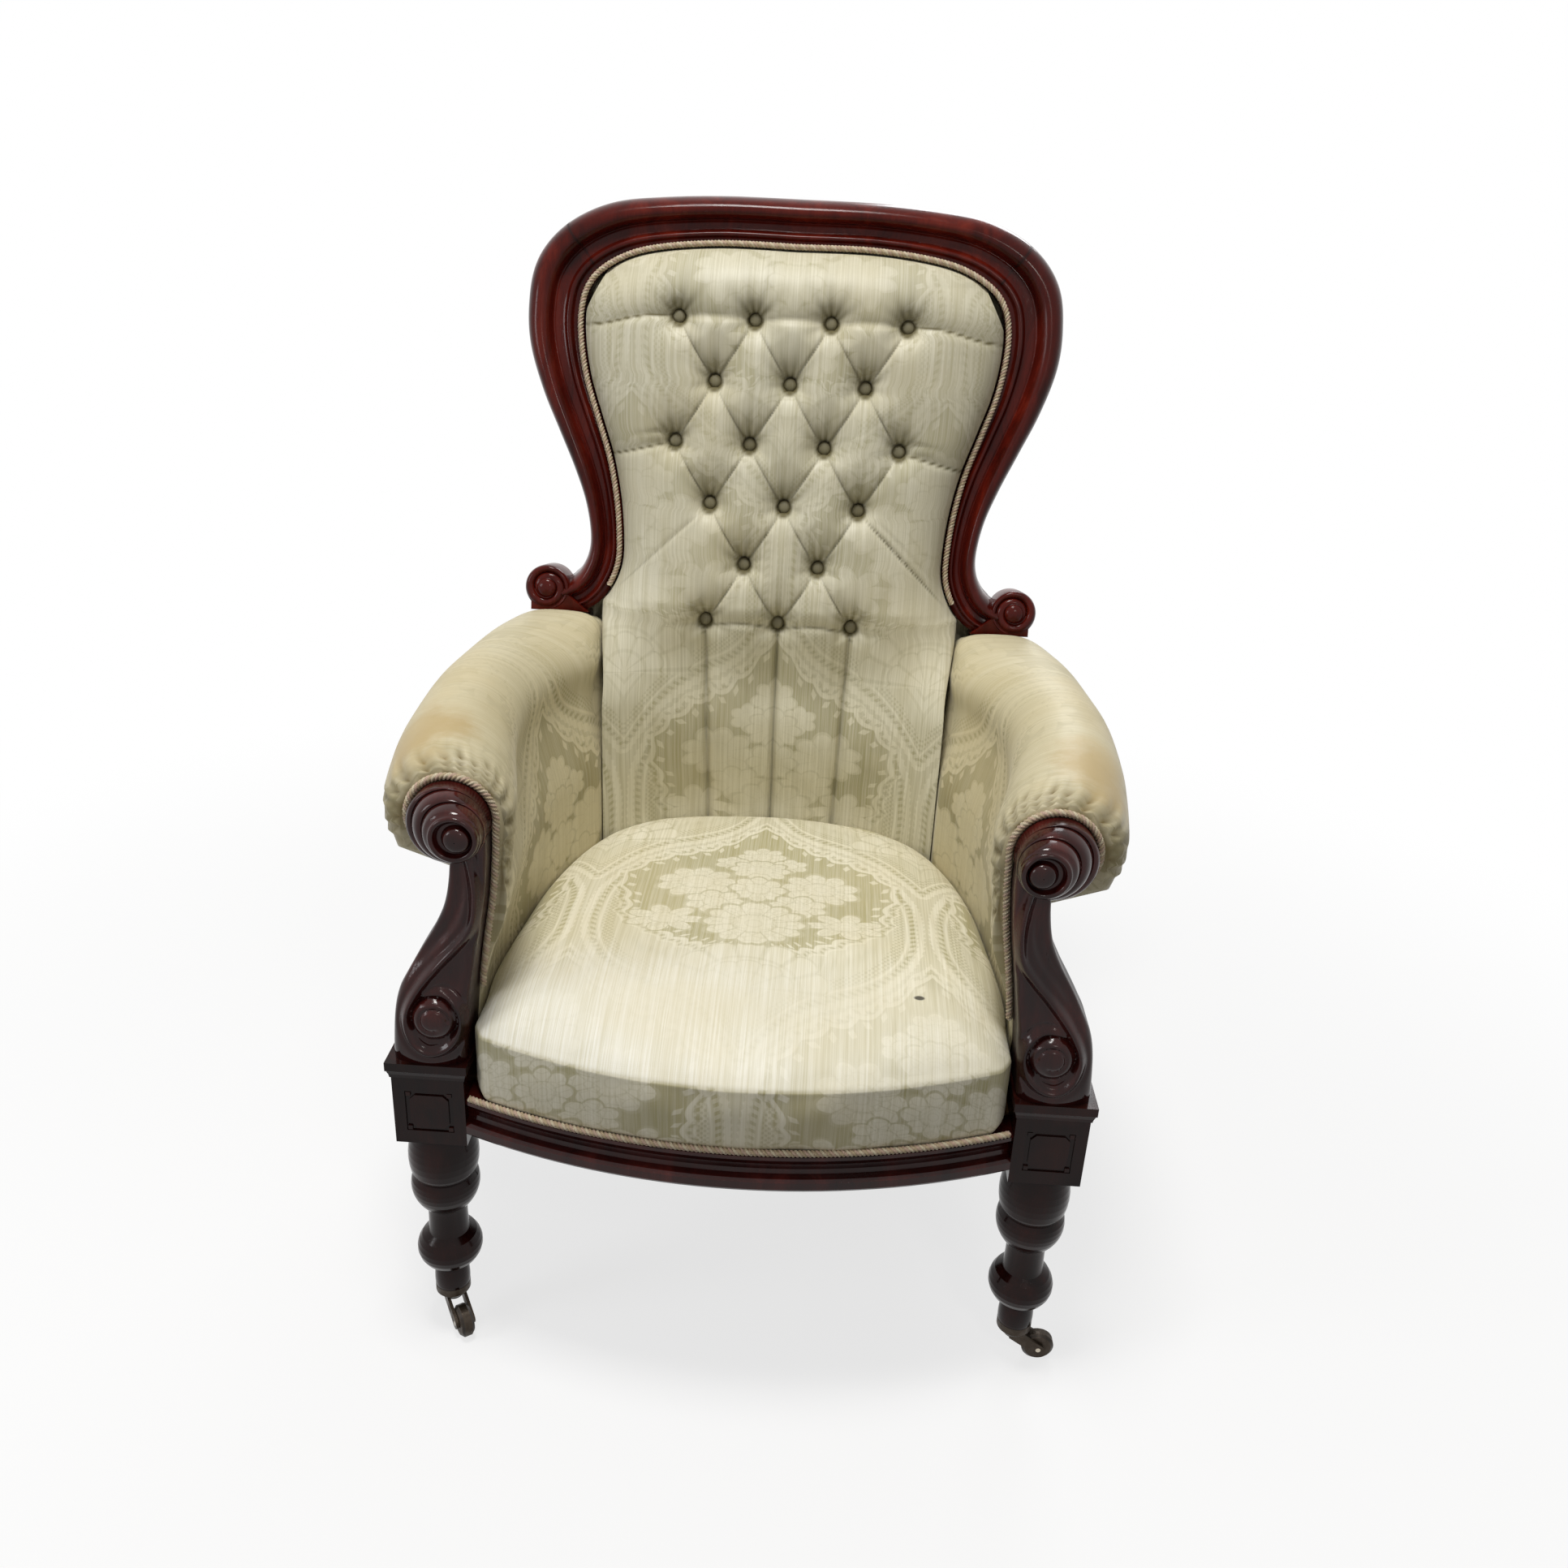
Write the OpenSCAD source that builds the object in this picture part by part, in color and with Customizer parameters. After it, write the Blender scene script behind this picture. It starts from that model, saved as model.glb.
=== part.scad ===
// Spoon back armchair: carved show-wood frame, sprung seat, buttoned back, padded arms, castors.
// Millimetres. X points to the right of the chair as seen from the front, Y to its back, Z up.
// The origin is on the floor, under the middle of the chair.

/* [Overall] */
// Height of the crest rail above the floor
overall_h = 1055; // [1020:5:1090]
// Width over the padded arms
arm_span = 690; // [680:2:710]
// Distance between the axes of the front legs
leg_span = 564; // [558:2:572]
// Distance between the axes of the back legs
rear_span = 470; // [462:2:478]

/* [Front legs] */
// Side of the square block at the top of a front leg
leg_block = 66; // [62:1:68]
// Height of the square block
block_h = 72; // [66:1:78]
// Height of the turned part, from the castor cup to the block
turned_h = 196; // [180:1:210]
// Height of the moulded collar on the block
collar_h = 18; // [14:1:22]
// How far the collar stands out from the block
collar_lip = 4; // [2:0.5:5]
// Depth of the cut panel on the front of the block
panel_cut = 1.6; // [1:0.2:2.5]

/* [Seat] */
// Height of the seat at its front edge
seat_h = 385; // [375:1:395]
// Rise of the middle of the seat above its front edge
seat_crown = 20; // [12:1:28]
// Distance from the axis of a front leg to the side of the seat
seat_inset = 36; // [35:1:39]
// Depth of the seat, from the axis of the front legs to the back
seat_d = 436; // [430:1:438]
// How far the front rail bows out past the leg blocks
rail_bow = 50; // [40:1:56]
// Height of the seat rails
rail_h = 37; // [32:1:42]
// Thickness of the seat rails
rail_t = 32; // [28:1:34]
// How far the leg blocks reach below the rails
rail_drop = 12; // [8:1:16]

/* [Back] */
// Width of the back frame at its widest
back_w = 583; // [570:1:590]
// Width of the back moulding at its widest
frame_w = 65; // [60:1:68]
// Thickness of the back frame
frame_t = 45; // [40:1:48]
// Height of the centres of the scrolls at the foot of the back frame
scroll_z = 640; // [630:1:650]
// Distance from the middle of the chair to the centre of such a scroll
scroll_x = 263; // [258:1:266]
// Radius of such a scroll
scroll_r = 25; // [22:0.5:27]
// Lean of the back from upright, in degrees
rake = 11.1; // [9:0.1:13]
// Distance from the axis of the front legs to the face of the back frame at the scrolls
back_y = 454; // [450:1:458]
// Thickness of the stuffing in front of the back frame
back_puff = 50; // [40:1:58]
// Sideways distance between two buttons of one row
button_dx = 81; // [76:1:82]
// Height between two rows of buttons
button_dz = 62.9; // [60:0.1:63.2]
// Radius of a button
button_r = 7; // [6:0.5:8]
// Depth of the dimple that a button pulls in
button_pull = 26; // [18:1:30]

/* [Arms] */
// Height of the middle of the padded roll at the front
arm_z = 556; // [550:1:560]
// Radius of the padded roll at the front
arm_r = 60; // [56:1:62]
// Depth of the carved arm support at its base
support_d = 43; // [38:1:46]
// Width of the scroll on top of an arm support
arm_scroll_w = 70; // [64:1:74]
// Height of the middle of that scroll above the collar
arm_scroll_rise = 226; // [222:1:230]
// Radius of the round boss at the foot of an arm support
boss_r = 20.5; // [18:0.5:22]

/* [Castors] */
// Diameter of a castor wheel
wheel_d = 32; // [30:1:34]
// Width of a castor wheel
wheel_w = 13; // [11:0.5:14]
// Distance from the swivel axis to the wheel's axle
castor_trail = 26; // [24:0.5:28]
// Radius of the swivel pin
stem_r = 4; // [3.5:0.1:4.4]
// Radius of the axle pin
axle_r = 2.5; // [2:0.1:3]
// Height of the castor, from the floor to the top of its cup
castor_h = 48; // [46:0.5:50]
// Radial clearance of a pin in its bore
pin_gap = 0.08; // [0.04:0.01:0.1]
// Clearance between the faces of moving pieces
face_gap = 0.3; // [0.2:0.05:0.5]

/* [Trim] */
// Radius of the rope gimp
gimp_r = 3.4; // [2.8:0.1:3.8]
// Thickness of covering cloth on its backing
cloth_t = 2.5; // [2:0.1:3.5]
// Clearance between two soft pieces
soft_gap = 1.5; // [1:0.1:2]

/* [Hidden] */

// Facets of a round shape
$fn = 48;
// How far a cutting tool runs past the face that it cuts
cut = 5;

// Colours, as the photograph shows them
mahogany = [0.34, 0.11, 0.08];
damask = [0.80, 0.77, 0.62];
bronze = [0.20, 0.15, 0.10];
jute = [0.55, 0.45, 0.30];
steel = [0.60, 0.60, 0.62];
beech = [0.76, 0.60, 0.42];

// Places that follow from the sizes above
leg_x = leg_span / 2;
rear_x = rear_span / 2;
half_block = leg_block / 2;
block_z = castor_h + turned_h;
collar_z = block_z + block_h;
support_z = collar_z + collar_h;
rail_z = block_z + rail_drop;
rail_top = rail_z + rail_h;
rail_mid = rail_z + rail_h / 2;
lean = tan(rake);

// Rounds the step from 0 to 1
function ease(t) = t <= 0 ? 0 : t >= 1 ? 1 : t * t * (3 - 2 * t);

// A value between two others
function mix(a, b, t) = a + (b - a) * t;

// One stretch of a smooth curve between b and c, with their neighbours a and d
function stretch(a, b, c, d, t) =
  0.5 * (2 * b + (c - a) * t + (2 * a - 5 * b + 4 * c - d) * t * t
  + (3 * b - a - 3 * c + d) * t * t * t);

// A point of the smooth curve through the points p, for u from 0 to 1
function along(p, u) =
  let (n = len(p) - 1, i = max(0, min(floor(u * n), n - 1)), t = u * n - i)
  stretch(p[max(i - 1, 0)], p[i], p[i + 1], p[min(i + 2, n)], t);

// The middle of a ring of points
function centre(ring) =
  let (s = [for (q = ring) 1] * ring) s / len(ring);

// A closed skin over rings of equal length, with a cap on the first and on the last ring
// With fold set to a direction, each face is split along the diagonal that lies further that way
// A cap is one flat face, a fan round its middle, or strips across from one side to the other
module skin(rings, fold = [0, 0, 0], cap = "flat") {
  n = len(rings);
  m = len(rings[0]);
  middles = cap == "fan" ? [centre(rings[0]), centre(rings[n - 1])] : [];
  points = concat([for (r = rings) each r], middles);
  sides = [for (i = [0:n - 2], j = [0:m - 1])
    let (k = (j + 1) % m, a = i * m, b = a + m)
    each (points[a + j] + points[b + k] - points[a + k] - points[b + j]) * fold > 0
      ? [[a + j, b + j, b + k], [a + j, b + k, a + k]]
      : [[a + j, b + j, a + k], [a + k, b + j, b + k]]];
  z = (n - 1) * m;
  first = cap == "fan" ? [for (j = [0:m - 1]) [j, (j + 1) % m, n * m]]
    : cap == "strips" ? [for (j = [0:m / 2 - 2]) let (k = m - 1 - j) each [[j, j + 1, k], [j + 1, k - 1, k]]]
    : [[for (j = [0:m - 1]) j]];
  last = cap == "fan" ? [for (j = [0:m - 1]) [z + (j + 1) % m, z + j, n * m + 1]]
    : cap == "strips" ? [for (f = first) [z + f[2], z + f[1], z + f[0]]]
    : [[for (j = [m - 1:-1:0]) z + j]];
  polyhedron(points, concat(sides, first, last));
}

// A round tube of radius r along the points p
module rope(p, r, sides = 8) {
  n = len(p);
  skin([for (i = [0:n - 1])
    let (d = p[min(i + 1, n - 1)] - p[max(i - 1, 0)],
      t = d / norm(d),
      side = abs(t[1]) > 0.9 ? [1, 0, 0] : [0, 1, 0],
      a = cross(t, side) / norm(cross(t, side)),
      b = cross(t, a))
    [for (k = [0:sides - 1]) let (w = 360 * k / sides) p[i] + r * (a * cos(w) + b * sin(w))]]);
}

// Moves a piece from the axis of the front legs to the middle of the floor plan
module placed() {
  translate([0, -mid_y, 0]) children();
}

// A piece and its twin on the other side
module sided(side) {
  if (side > 0) children();
  else mirror([1, 0, 0]) children();
}

// Back frame: height and lean of its face, and the middle line of its moulding

// Share of the frame's thickness that stands in front of its face
front_share = 0.3;
front_t = front_share * frame_t;
rear_t = frame_t - front_t;
// The face of the back frame leans
function face_y(z) = back_y + lean * (z - scroll_z);
rear_reach = face_y(overall_h) + rear_t;

// Middle line from the crest down to the scroll: shares of the half width, of the height
// and of the width of the moulding
back_curve_share = [
  [0, 1, 0.77], [0.309, 1, 0.76], [0.575, 0.986, 0.8], [0.749, 0.962, 0.885],
  [0.888, 0.913, 0.955], [0.971, 0.847, 1], [1, 0.765, 0.97], [0.996, 0.674, 0.945],
  [0.956, 0.566, 0.855], [0.894, 0.46, 0.78], [0.832, 0.356, 0.71], [0.788, 0.254, 0.615],
  [0.768, 0.156, 0.57], [0.775, 0.085, 0.6], [0.817, 0.024, 0.61], [0.873, -0.013, 0.6],
  [0.938, -0.03, 0.5]
];
back_rise = overall_h - scroll_z - back_curve_share[0][2] * frame_w / 2;
mould_x = (back_w - frame_w) / 2;
back_curve = [for (s = back_curve_share) [s[0] * mould_x, scroll_z + s[1] * back_rise, s[2] * frame_w]];

// Cross-section of the moulding: shares of its width from the outer edge, and of its depth
mould_share = [
  [0, 0.45], [0.03, 0.27], [0.1, 0.1], [0.2, 0.01], [0.31, 0.02], [0.41, 0.16], [0.46, 0.31],
  [0.51, 0.31], [0.66, 0.27], [0.71, 0.19], [0.77, 0.19], [0.82, 0.28], [0.9, 0.3], [1, 0.36],
  [1, 1], [0, 1]
];

// Where the crest rail meets a stile, along the middle line
crest_joint_share = 0.25;
// Step used to find the direction of the middle line
line_step = 0.002;

// A point across the moulding at u, by its share of the width from the outer edge
function mould_at(u, share) =
  let (m = along(back_curve, u),
    d = along(back_curve, u + line_step) - along(back_curve, max(u - line_step, 0)),
    t = [d[0], d[1]] / norm([d[0], d[1]]))
  [m[0] - t[1] * m[2] * (0.5 - share), m[1] + t[0] * m[2] * (0.5 - share)];

function mould_ring(u) =
  [for (s = mould_share) let (q = mould_at(abs(u), s[0]))
    [(u < 0 ? -1 : 1) * q[0], face_y(q[1]) + (s[1] - front_share) * frame_t, q[1]]];

// The inner edge of the frame as a table from height to half width, for the stuffing
inner_steps = 60;
inner_from_share = 0.15;
inner_to_share = 0.9;
inner_line = [for (i = [0:inner_steps]) mould_at(mix(inner_to_share, inner_from_share, i / inner_steps), 1)];
inner_table = [for (q = inner_line) [q[1], q[0]]];

// A place on the leaning face: X to the right, Y up along the back, Z out of its front
module on_back() {
  translate([0, back_y, scroll_z]) rotate([90 - rake, 0, 0]) children();
}

// Scrolls at the foot of the frame, and the flat under them that the arms start from
foot_drop = scroll_r * 1.04;
scroll_eye = scroll_r * 0.62;
eye_proud = scroll_r * 0.2;
foot_w = 36;
scroll_rear = (rear_t - face_gap) * cos(rake);
foot_top = scroll_z - foot_drop * cos(rake);

module crest_rail() {
  steps = 14;
  color(mahogany) placed()
    skin([for (i = [-steps:steps]) mould_ring(crest_joint_share * i / steps)]);
}

module back_stile(side) {
  steps = 30;
  foot_out = scroll_x + scroll_r * 0.75;
  color(mahogany) placed() sided(side) {
    skin([for (i = [0:steps]) mould_ring(mix(crest_joint_share, 1, i / steps))]);
    on_back() {
      translate([scroll_x, 0, -scroll_rear]) cylinder(h = scroll_rear + front_t, r = scroll_r);
      translate([scroll_x, 0, 0]) cylinder(h = front_t + eye_proud, r = scroll_eye);
      translate([0, 0, -scroll_rear]) linear_extrude(scroll_rear + front_t)
        polygon([[rear_x - foot_w / 2, -foot_drop], [foot_out, -foot_drop], [foot_out, 0],
          [scroll_x - scroll_r, 0]]);
    }
  }
}

// Castors: each is a cup on the leg, a fork that swivels in it, a wheel and its axle
wheel_r = wheel_d / 2;
cup_deep = 8;
cup_r = 17;
cup_foot_r = 12;
tenon_r = 13;
fit_gap = 0.1;
cup_z = castor_h * 0.71;
tenon_z = castor_h - cup_deep;
fork_top = cup_z - face_gap;
crown_t = 4;
crown_r = 9;
cheek_t = 3;
cheek_y = wheel_w / 2 + face_gap;
eye_r = 6;
stem_deep = 12;
stem_room = 0.6;
wheel_round = 3;
rear_set = 25;
rear_splay = 51;
rear_hip_y = back_y + rear_set;
rear_foot_y = rear_hip_y + rear_splay;

// Places of the castors: leg axis, and the direction in which the wheel trails
front_left = [-leg_x, 0, -55];
front_right = [leg_x, 0, 0];
rear_left = [-rear_x, rear_foot_y, 35];
rear_right = [rear_x, rear_foot_y, 150];

module at_castor(place) {
  placed() translate([place[0], place[1], 0]) rotate([0, 0, place[2]]) children();
}

// A cylinder along Y, from y to -y
module cross_pin(r, y) {
  rotate([90, 0, 0]) cylinder(h = 2 * y, r = r, center = true);
}

module castor_cup(place) {
  color(bronze) at_castor(place) rotate_extrude()
    polygon([[stem_r + pin_gap, cup_z], [cup_foot_r, cup_z], [cup_r, tenon_z], [cup_r, castor_h],
      [tenon_r + fit_gap, castor_h], [tenon_r + fit_gap, tenon_z], [stem_r + pin_gap, tenon_z]]);
}

module castor_fork(place) {
  half = cheek_y + cheek_t;
  color(bronze) at_castor(place) difference() {
    union() {
      translate([0, 0, fork_top - crown_t]) cylinder(h = crown_t, r = crown_r);
      translate([0, 0, fork_top - crown_t])
        cylinder(h = tenon_z + stem_deep - fork_top + crown_t, r = stem_r);
      translate([-crown_r / 2, -half, fork_top - crown_t]) cube([crown_r, 2 * half, crown_t]);
      for (flip = [0, 1]) mirror([0, flip, 0]) {
        translate([castor_trail, half, wheel_r]) rotate([90, 0, 0]) cylinder(h = cheek_t, r = eye_r);
        translate([0, half, 0]) rotate([90, 0, 0]) linear_extrude(cheek_t)
          polygon([[-crown_r / 2, fork_top], [crown_r, fork_top],
            [castor_trail + eye_r * 0.6, wheel_r + eye_r * 0.8],
            [castor_trail - eye_r * 0.6, wheel_r - eye_r * 0.8],
            [-crown_r / 2, fork_top - crown_t]]);
      }
    }
    translate([castor_trail, 0, wheel_r]) cross_pin(axle_r + pin_gap, half + cut);
  }
}

module castor_wheel(place) {
  half = wheel_w / 2;
  color(bronze) at_castor(place) translate([castor_trail, 0, wheel_r]) rotate([90, 0, 0]) rotate_extrude()
    polygon([[axle_r + pin_gap, -half], [wheel_r - wheel_round, -half], [wheel_r, wheel_round - half],
      [wheel_r, half - wheel_round], [wheel_r - wheel_round, half], [axle_r + pin_gap, half]]);
}

module castor_axle(place) {
  color(steel) at_castor(place) translate([castor_trail, 0, wheel_r]) cross_pin(axle_r, cheek_y + cheek_t);
}

// The hole for the swivel pin in the foot of a leg
module stem_bore(place) {
  translate([place[0], place[1], tenon_z - cut])
    cylinder(h = stem_deep + stem_room + cut, r = stem_r + stem_room);
}

// Rails, dowels and screws
web_t = 1.5;
dowel_r = 4.5;
dowel_l = 30;
screw_r = 2.2;
screw_head_r = 4.5;
screw_head_t = 3;
screw_l = 32;
leg_thick = 40;
leg_wide = 36;
hip_front = rear_hip_y - leg_thick / 2;
block_in = leg_x - half_block;
hip_in = rear_x - leg_wide / 2;
bow_r = (block_in * block_in + rail_bow * rail_bow) / (2 * rail_bow);
bow_y = bow_r - rail_bow - half_block;
// Front face of the bowed rail at x
function bow_front(x) = bow_y - sqrt(bow_r * bow_r - x * x);

// Dowels: middle, and direction in degrees from X
rail_dowel_places = [
  [block_in, -half_block / 2, 0], [leg_x, half_block, 90],
  [rear_x, hip_front, 90], [hip_in, hip_front + rail_t * 0.8, 0]
];

module dowel_set(side, r, long) {
  sided(side) for (d = rail_dowel_places)
    translate([d[0], d[1], rail_mid]) rotate([0, 90, d[2]]) cylinder(h = long, r = r, center = true);
}

module dowel_holes(side) {
  dowel_set(side, dowel_r + fit_gap, dowel_l + 2 * fit_gap);
}

module rail_dowels() {
  color(beech) placed() for (side = [-1, 1]) dowel_set(side, dowel_r, dowel_l);
}

module front_rail() {
  lip = rail_t * 0.3;
  color(mahogany) placed() difference() {
    intersection() {
      translate([0, bow_y, 0]) rotate_extrude($fn = 180)
        polygon([[bow_r - rail_t, rail_z], [bow_r - lip * 0.2, rail_z], [bow_r, rail_z + rail_h * 0.08],
          [bow_r, rail_z + rail_h * 0.28], [bow_r - lip * 0.3, rail_z + rail_h * 0.34],
          [bow_r - lip * 0.9, rail_z + rail_h * 0.38], [bow_r - lip, rail_z + rail_h * 0.5],
          [bow_r - lip * 0.9, rail_z + rail_h * 0.66], [bow_r - lip * 0.5, rail_z + rail_h * 0.84],
          [bow_r - lip * 0.2, rail_z + rail_h * 0.9], [bow_r - lip * 0.2, rail_top],
          [bow_r - rail_t, rail_top]]);
      translate([-block_in, bow_y - bow_r - cut, rail_z - cut])
        cube([2 * block_in, bow_r / 2, rail_h + 2 * cut]);
    }
    for (side = [-1, 1]) dowel_holes(side);
  }
}

// Corner blocks and their screws, beside the side rails
corner_reach = 50;
corner_in = 22;
corner_from = half_block * 0.2;
rail_slope = (rear_x - leg_x) / (hip_front - half_block);
// Inner face of a side rail at y
function rail_inner(y) = leg_x - rail_t / 2 + rail_slope * (y - half_block);
screw_front_y = half_block + corner_reach / 2;
screw_rear_y = hip_front - corner_reach / 2;

// The screws on one side: shank and head, each with its own length and radius
module screw_set(side, long, r, head, head_r) {
  for (y = [screw_front_y, screw_rear_y])
    sided(side) translate([rail_inner(y) - corner_in / 2, y, rail_mid]) rotate([0, 90, 0]) {
      cylinder(h = long, r = r);
      translate([0, 0, -head]) cylinder(h = head, r = head_r);
    }
}

module screw_holes(side) {
  screw_set(side, screw_l + fit_gap, screw_r + fit_gap, corner_in, screw_head_r + fit_gap);
}

// The bead along a side rail hides the edge of the webbing under it
module side_rail(side) {
  bead_h = rail_h * 0.28;
  bead_out = rail_t * 0.1;
  bead_from = rail_t * 0.16;
  bead_drop = 3 * web_t;
  half = rail_t / 2;
  color(mahogany) placed() difference() {
    sided(side) {
      translate([0, 0, rail_z]) linear_extrude(rail_h)
        polygon([[leg_x - half, half_block], [leg_x + half, half_block], [rear_x + half, hip_front],
          [rear_x - half, hip_front]]);
      translate([0, 0, rail_z - bead_drop]) linear_extrude(bead_h + bead_drop)
        polygon([[leg_x + bead_from, half_block], [leg_x + half + bead_out, half_block],
          [rear_x + half + bead_out, hip_front], [rear_x + bead_from, hip_front]]);
    }
    dowel_holes(side);
    screw_holes(side);
  }
}

module back_rail() {
  color(beech) placed() difference() {
    translate([-hip_in, hip_front, rail_z]) cube([2 * hip_in, rail_t, rail_h]);
    for (side = [-1, 1]) dowel_holes(side);
  }
}

module corner_blocks() {
  color(beech) placed() for (side = [-1, 1]) difference() {
    sided(side) translate([0, 0, rail_z]) linear_extrude(rail_h) {
      polygon([[block_in, half_block], [block_in, corner_from], [block_in - corner_in, corner_from],
        [block_in - corner_in, corner_in],
        [rail_inner(half_block + corner_reach), half_block + corner_reach],
        [rail_inner(half_block), half_block]]);
      polygon([[rail_inner(hip_front), hip_front],
        [rail_inner(hip_front - corner_reach), hip_front - corner_reach],
        [hip_in - corner_reach, hip_front]]);
    }
    screw_holes(side);
  }
}

module block_screws() {
  color(steel) placed() for (side = [-1, 1]) screw_set(side, screw_l, screw_r, screw_head_t, screw_head_r);
}

// Front legs
// Turned beads from the castor up: shares of the height where each starts and ends, and of
// half the block at its start, at its end and of its swell
turning_share = [
  [0, 0.13, 0.51, 0.46, 0.03], [0.13, 0.35, 0.46, 0.6, 0.42], [0.35, 0.51, 0.6, 0.58, -0.02],
  [0.51, 0.715, 0.58, 0.88, 0.23], [0.715, 1, 0.88, 0.72, 0.2]
];
bead_steps = 8;
swell_power = 0.7;
turning = [for (b = turning_share) for (i = [0:bead_steps]) let (t = i / bead_steps)
  [half_block * (mix(b[2], b[3], t) + b[4] * pow(sin(180 * t), swell_power)),
    castor_h + turned_h * mix(b[0], b[1], t)]];

// Outline of the collar's moulding: shares of its overhang and of its height
collar_share = [[0, 0], [0.25, 0.05], [0.4, 0.25], [0.7, 0.45], [1, 0.52], [1, 1]];

module collar_side() {
  side = half_block;
  translate([0, leg_block, collar_z]) rotate([90, 0, 0]) linear_extrude(2 * leg_block)
    polygon(concat(
      [for (s = collar_share) [side + s[0] * collar_lip, s[1] * collar_h]],
      [for (i = [len(collar_share) - 1:-1:0])
        [-side - collar_share[i][0] * collar_lip, collar_share[i][1] * collar_h]]));
}

module front_leg(side) {
  panel = leg_block * 0.33;
  rim = leg_block * 0.06;
  stud = leg_block * 0.045;
  panel_z = collar_z - block_h / 2;
  color(mahogany) placed() sided(side) difference() {
    translate([leg_x, 0, 0]) {
      rotate_extrude() polygon(concat([[0, castor_h]], turning, [[0, block_z]]));
      translate([0, 0, tenon_z]) cylinder(h = cup_deep, r = tenon_r);
      difference() {
        translate([-half_block, -half_block, block_z]) cube([leg_block, leg_block, block_h]);
        // A square groove with clipped corners round a raised panel
        translate([0, panel_cut - half_block, panel_z]) rotate([90, 0, 0]) difference() {
          linear_extrude(panel_cut + cut) square(2 * panel, center = true);
          linear_extrude(panel_cut + cut) polygon([for (i = [0:7])
            (panel - rim) * [(i % 4 < 1 || i % 4 > 2 ? 1 : 0.72) * (i > 1 && i < 6 ? -1 : 1),
              (i % 4 < 1 || i % 4 > 2 ? 0.72 : 1) * (i < 4 ? 1 : -1)]]);
        }
      }
      intersection() {
        collar_side();
        rotate([0, 0, 90]) collar_side();
      }
      for (x = [-1, 1], z = [-1, 1])
        translate([x * (panel - stud), 2 * panel_cut - half_block, panel_z + z * (panel - stud)])
          rotate([90, 45, 0]) cylinder(h = 2 * panel_cut, r = stud, $fn = 4);
    }
    dowel_holes(1);
    stem_bore(front_right);
  }
}

// Back legs: the sabre curve as shares of the height from the castor to the rail, of the way
// back and of the thickness
sabre_share = [
  [0, 1, 0.66], [0.2, 0.78, 0.7], [0.45, 0.44, 0.8], [0.7, 0.17, 0.92], [0.9, 0.03, 1], [1, 0, 1]
];
ankle_w = 28;

// Where the underside of the foot of the back frame lies, at a distance in front of the face
function foot_z(y) =
  scroll_z - foot_drop * cos(rake) + (back_y - foot_drop * sin(rake) - y) * lean;
upright_rear = back_y + scroll_rear * cos(rake) - foot_drop * sin(rake) - fit_gap;

module rear_leg(side) {
  steps = 16;
  line = [for (i = [0:steps]) let (s = along(sabre_share, i / steps))
    [mix(rear_hip_y, rear_foot_y, s[1]), mix(castor_h, rail_z, s[0]), s[2] * leg_thick / 2]];
  profile = concat(
    [for (p = line) [p[0] - p[2], p[1]]],
    [[hip_front, foot_z(hip_front)], [upright_rear, foot_z(upright_rear)],
      [rear_hip_y + leg_thick / 2, rail_top]],
    [for (i = [steps:-1:0]) [line[i][0] + line[i][2], line[i][1]]]);
  color(mahogany) placed() sided(side) difference() {
    union() {
      intersection() {
        translate([rear_x - leg_wide, 0, 0]) rotate([90, 0, 90]) linear_extrude(2 * leg_wide)
          polygon(profile);
        translate([rear_x, back_y + leg_span, 0]) rotate([90, 0, 0]) linear_extrude(2 * leg_span)
          polygon([[-ankle_w / 2, 0], [ankle_w / 2, 0], [leg_wide / 2, rail_z],
            [leg_wide / 2, overall_h], [-leg_wide / 2, overall_h], [-leg_wide / 2, rail_z]]);
      }
      translate([rear_x, rear_foot_y, tenon_z]) cylinder(h = cup_deep + cut, r = tenon_r);
    }
    dowel_holes(1);
    stem_bore(rear_right);
  }
}

// Arm supports
support_top = support_z + arm_scroll_rise;
arm_front = support_d - half_block + collar_lip / 2;
// Outline from the collar up: shares of the height to the scroll, then shares of half the block
// from the leg's axis for the inner edge, the outer edge and the front face
support_share = [
  [0, -1.06, 0.93, -1.06], [0.07, -1.1, 0.91, -1.09], [0.22, -1.2, 0.81, -1.07],
  [0.32, -1.26, 0.65, -1], [0.4, -1.33, 0.38, -0.9], [0.48, -1.41, 0.08, -0.79],
  [0.57, -1.51, -0.27, -0.69], [0.67, -1.62, -0.58, -0.59], [0.78, -1.7, -0.73, -0.5],
  [0.9, -1.76, -0.78, -0.46], [1, -1.76, -0.72, -0.46]
];
// Front of the support across its width: shares of the width from the inner edge and of the carving
relief_share = [
  [0, 1.3], [0.05, 0.5], [0.16, 0.1], [0.26, 0.35], [0.31, 0.85], [0.38, 0.3], [0.5, 0],
  [0.61, 0.3], [0.67, 0.9], [0.74, 0.3], [0.85, 0], [0.95, 0.4], [1, 1.4]
];
carving = 4;
round_front = 9;
support_back = arm_front;

function support_edge(t) = along(support_share, t);

function support_ring(t) =
  let (s = support_edge(t), x0 = leg_x + s[1] * half_block, x1 = leg_x + s[2] * half_block,
    y0 = s[3] * half_block, z = mix(support_z, support_top, s[0]))
  concat(
    [for (r = relief_share)
      [mix(x0, x1, r[0]), y0 + carving * r[1] + round_front * (1 - t) * pow(2 * r[0] - 1, 2), z]],
    [[x1, support_back, z], [x0, support_back, z]]);

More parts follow.
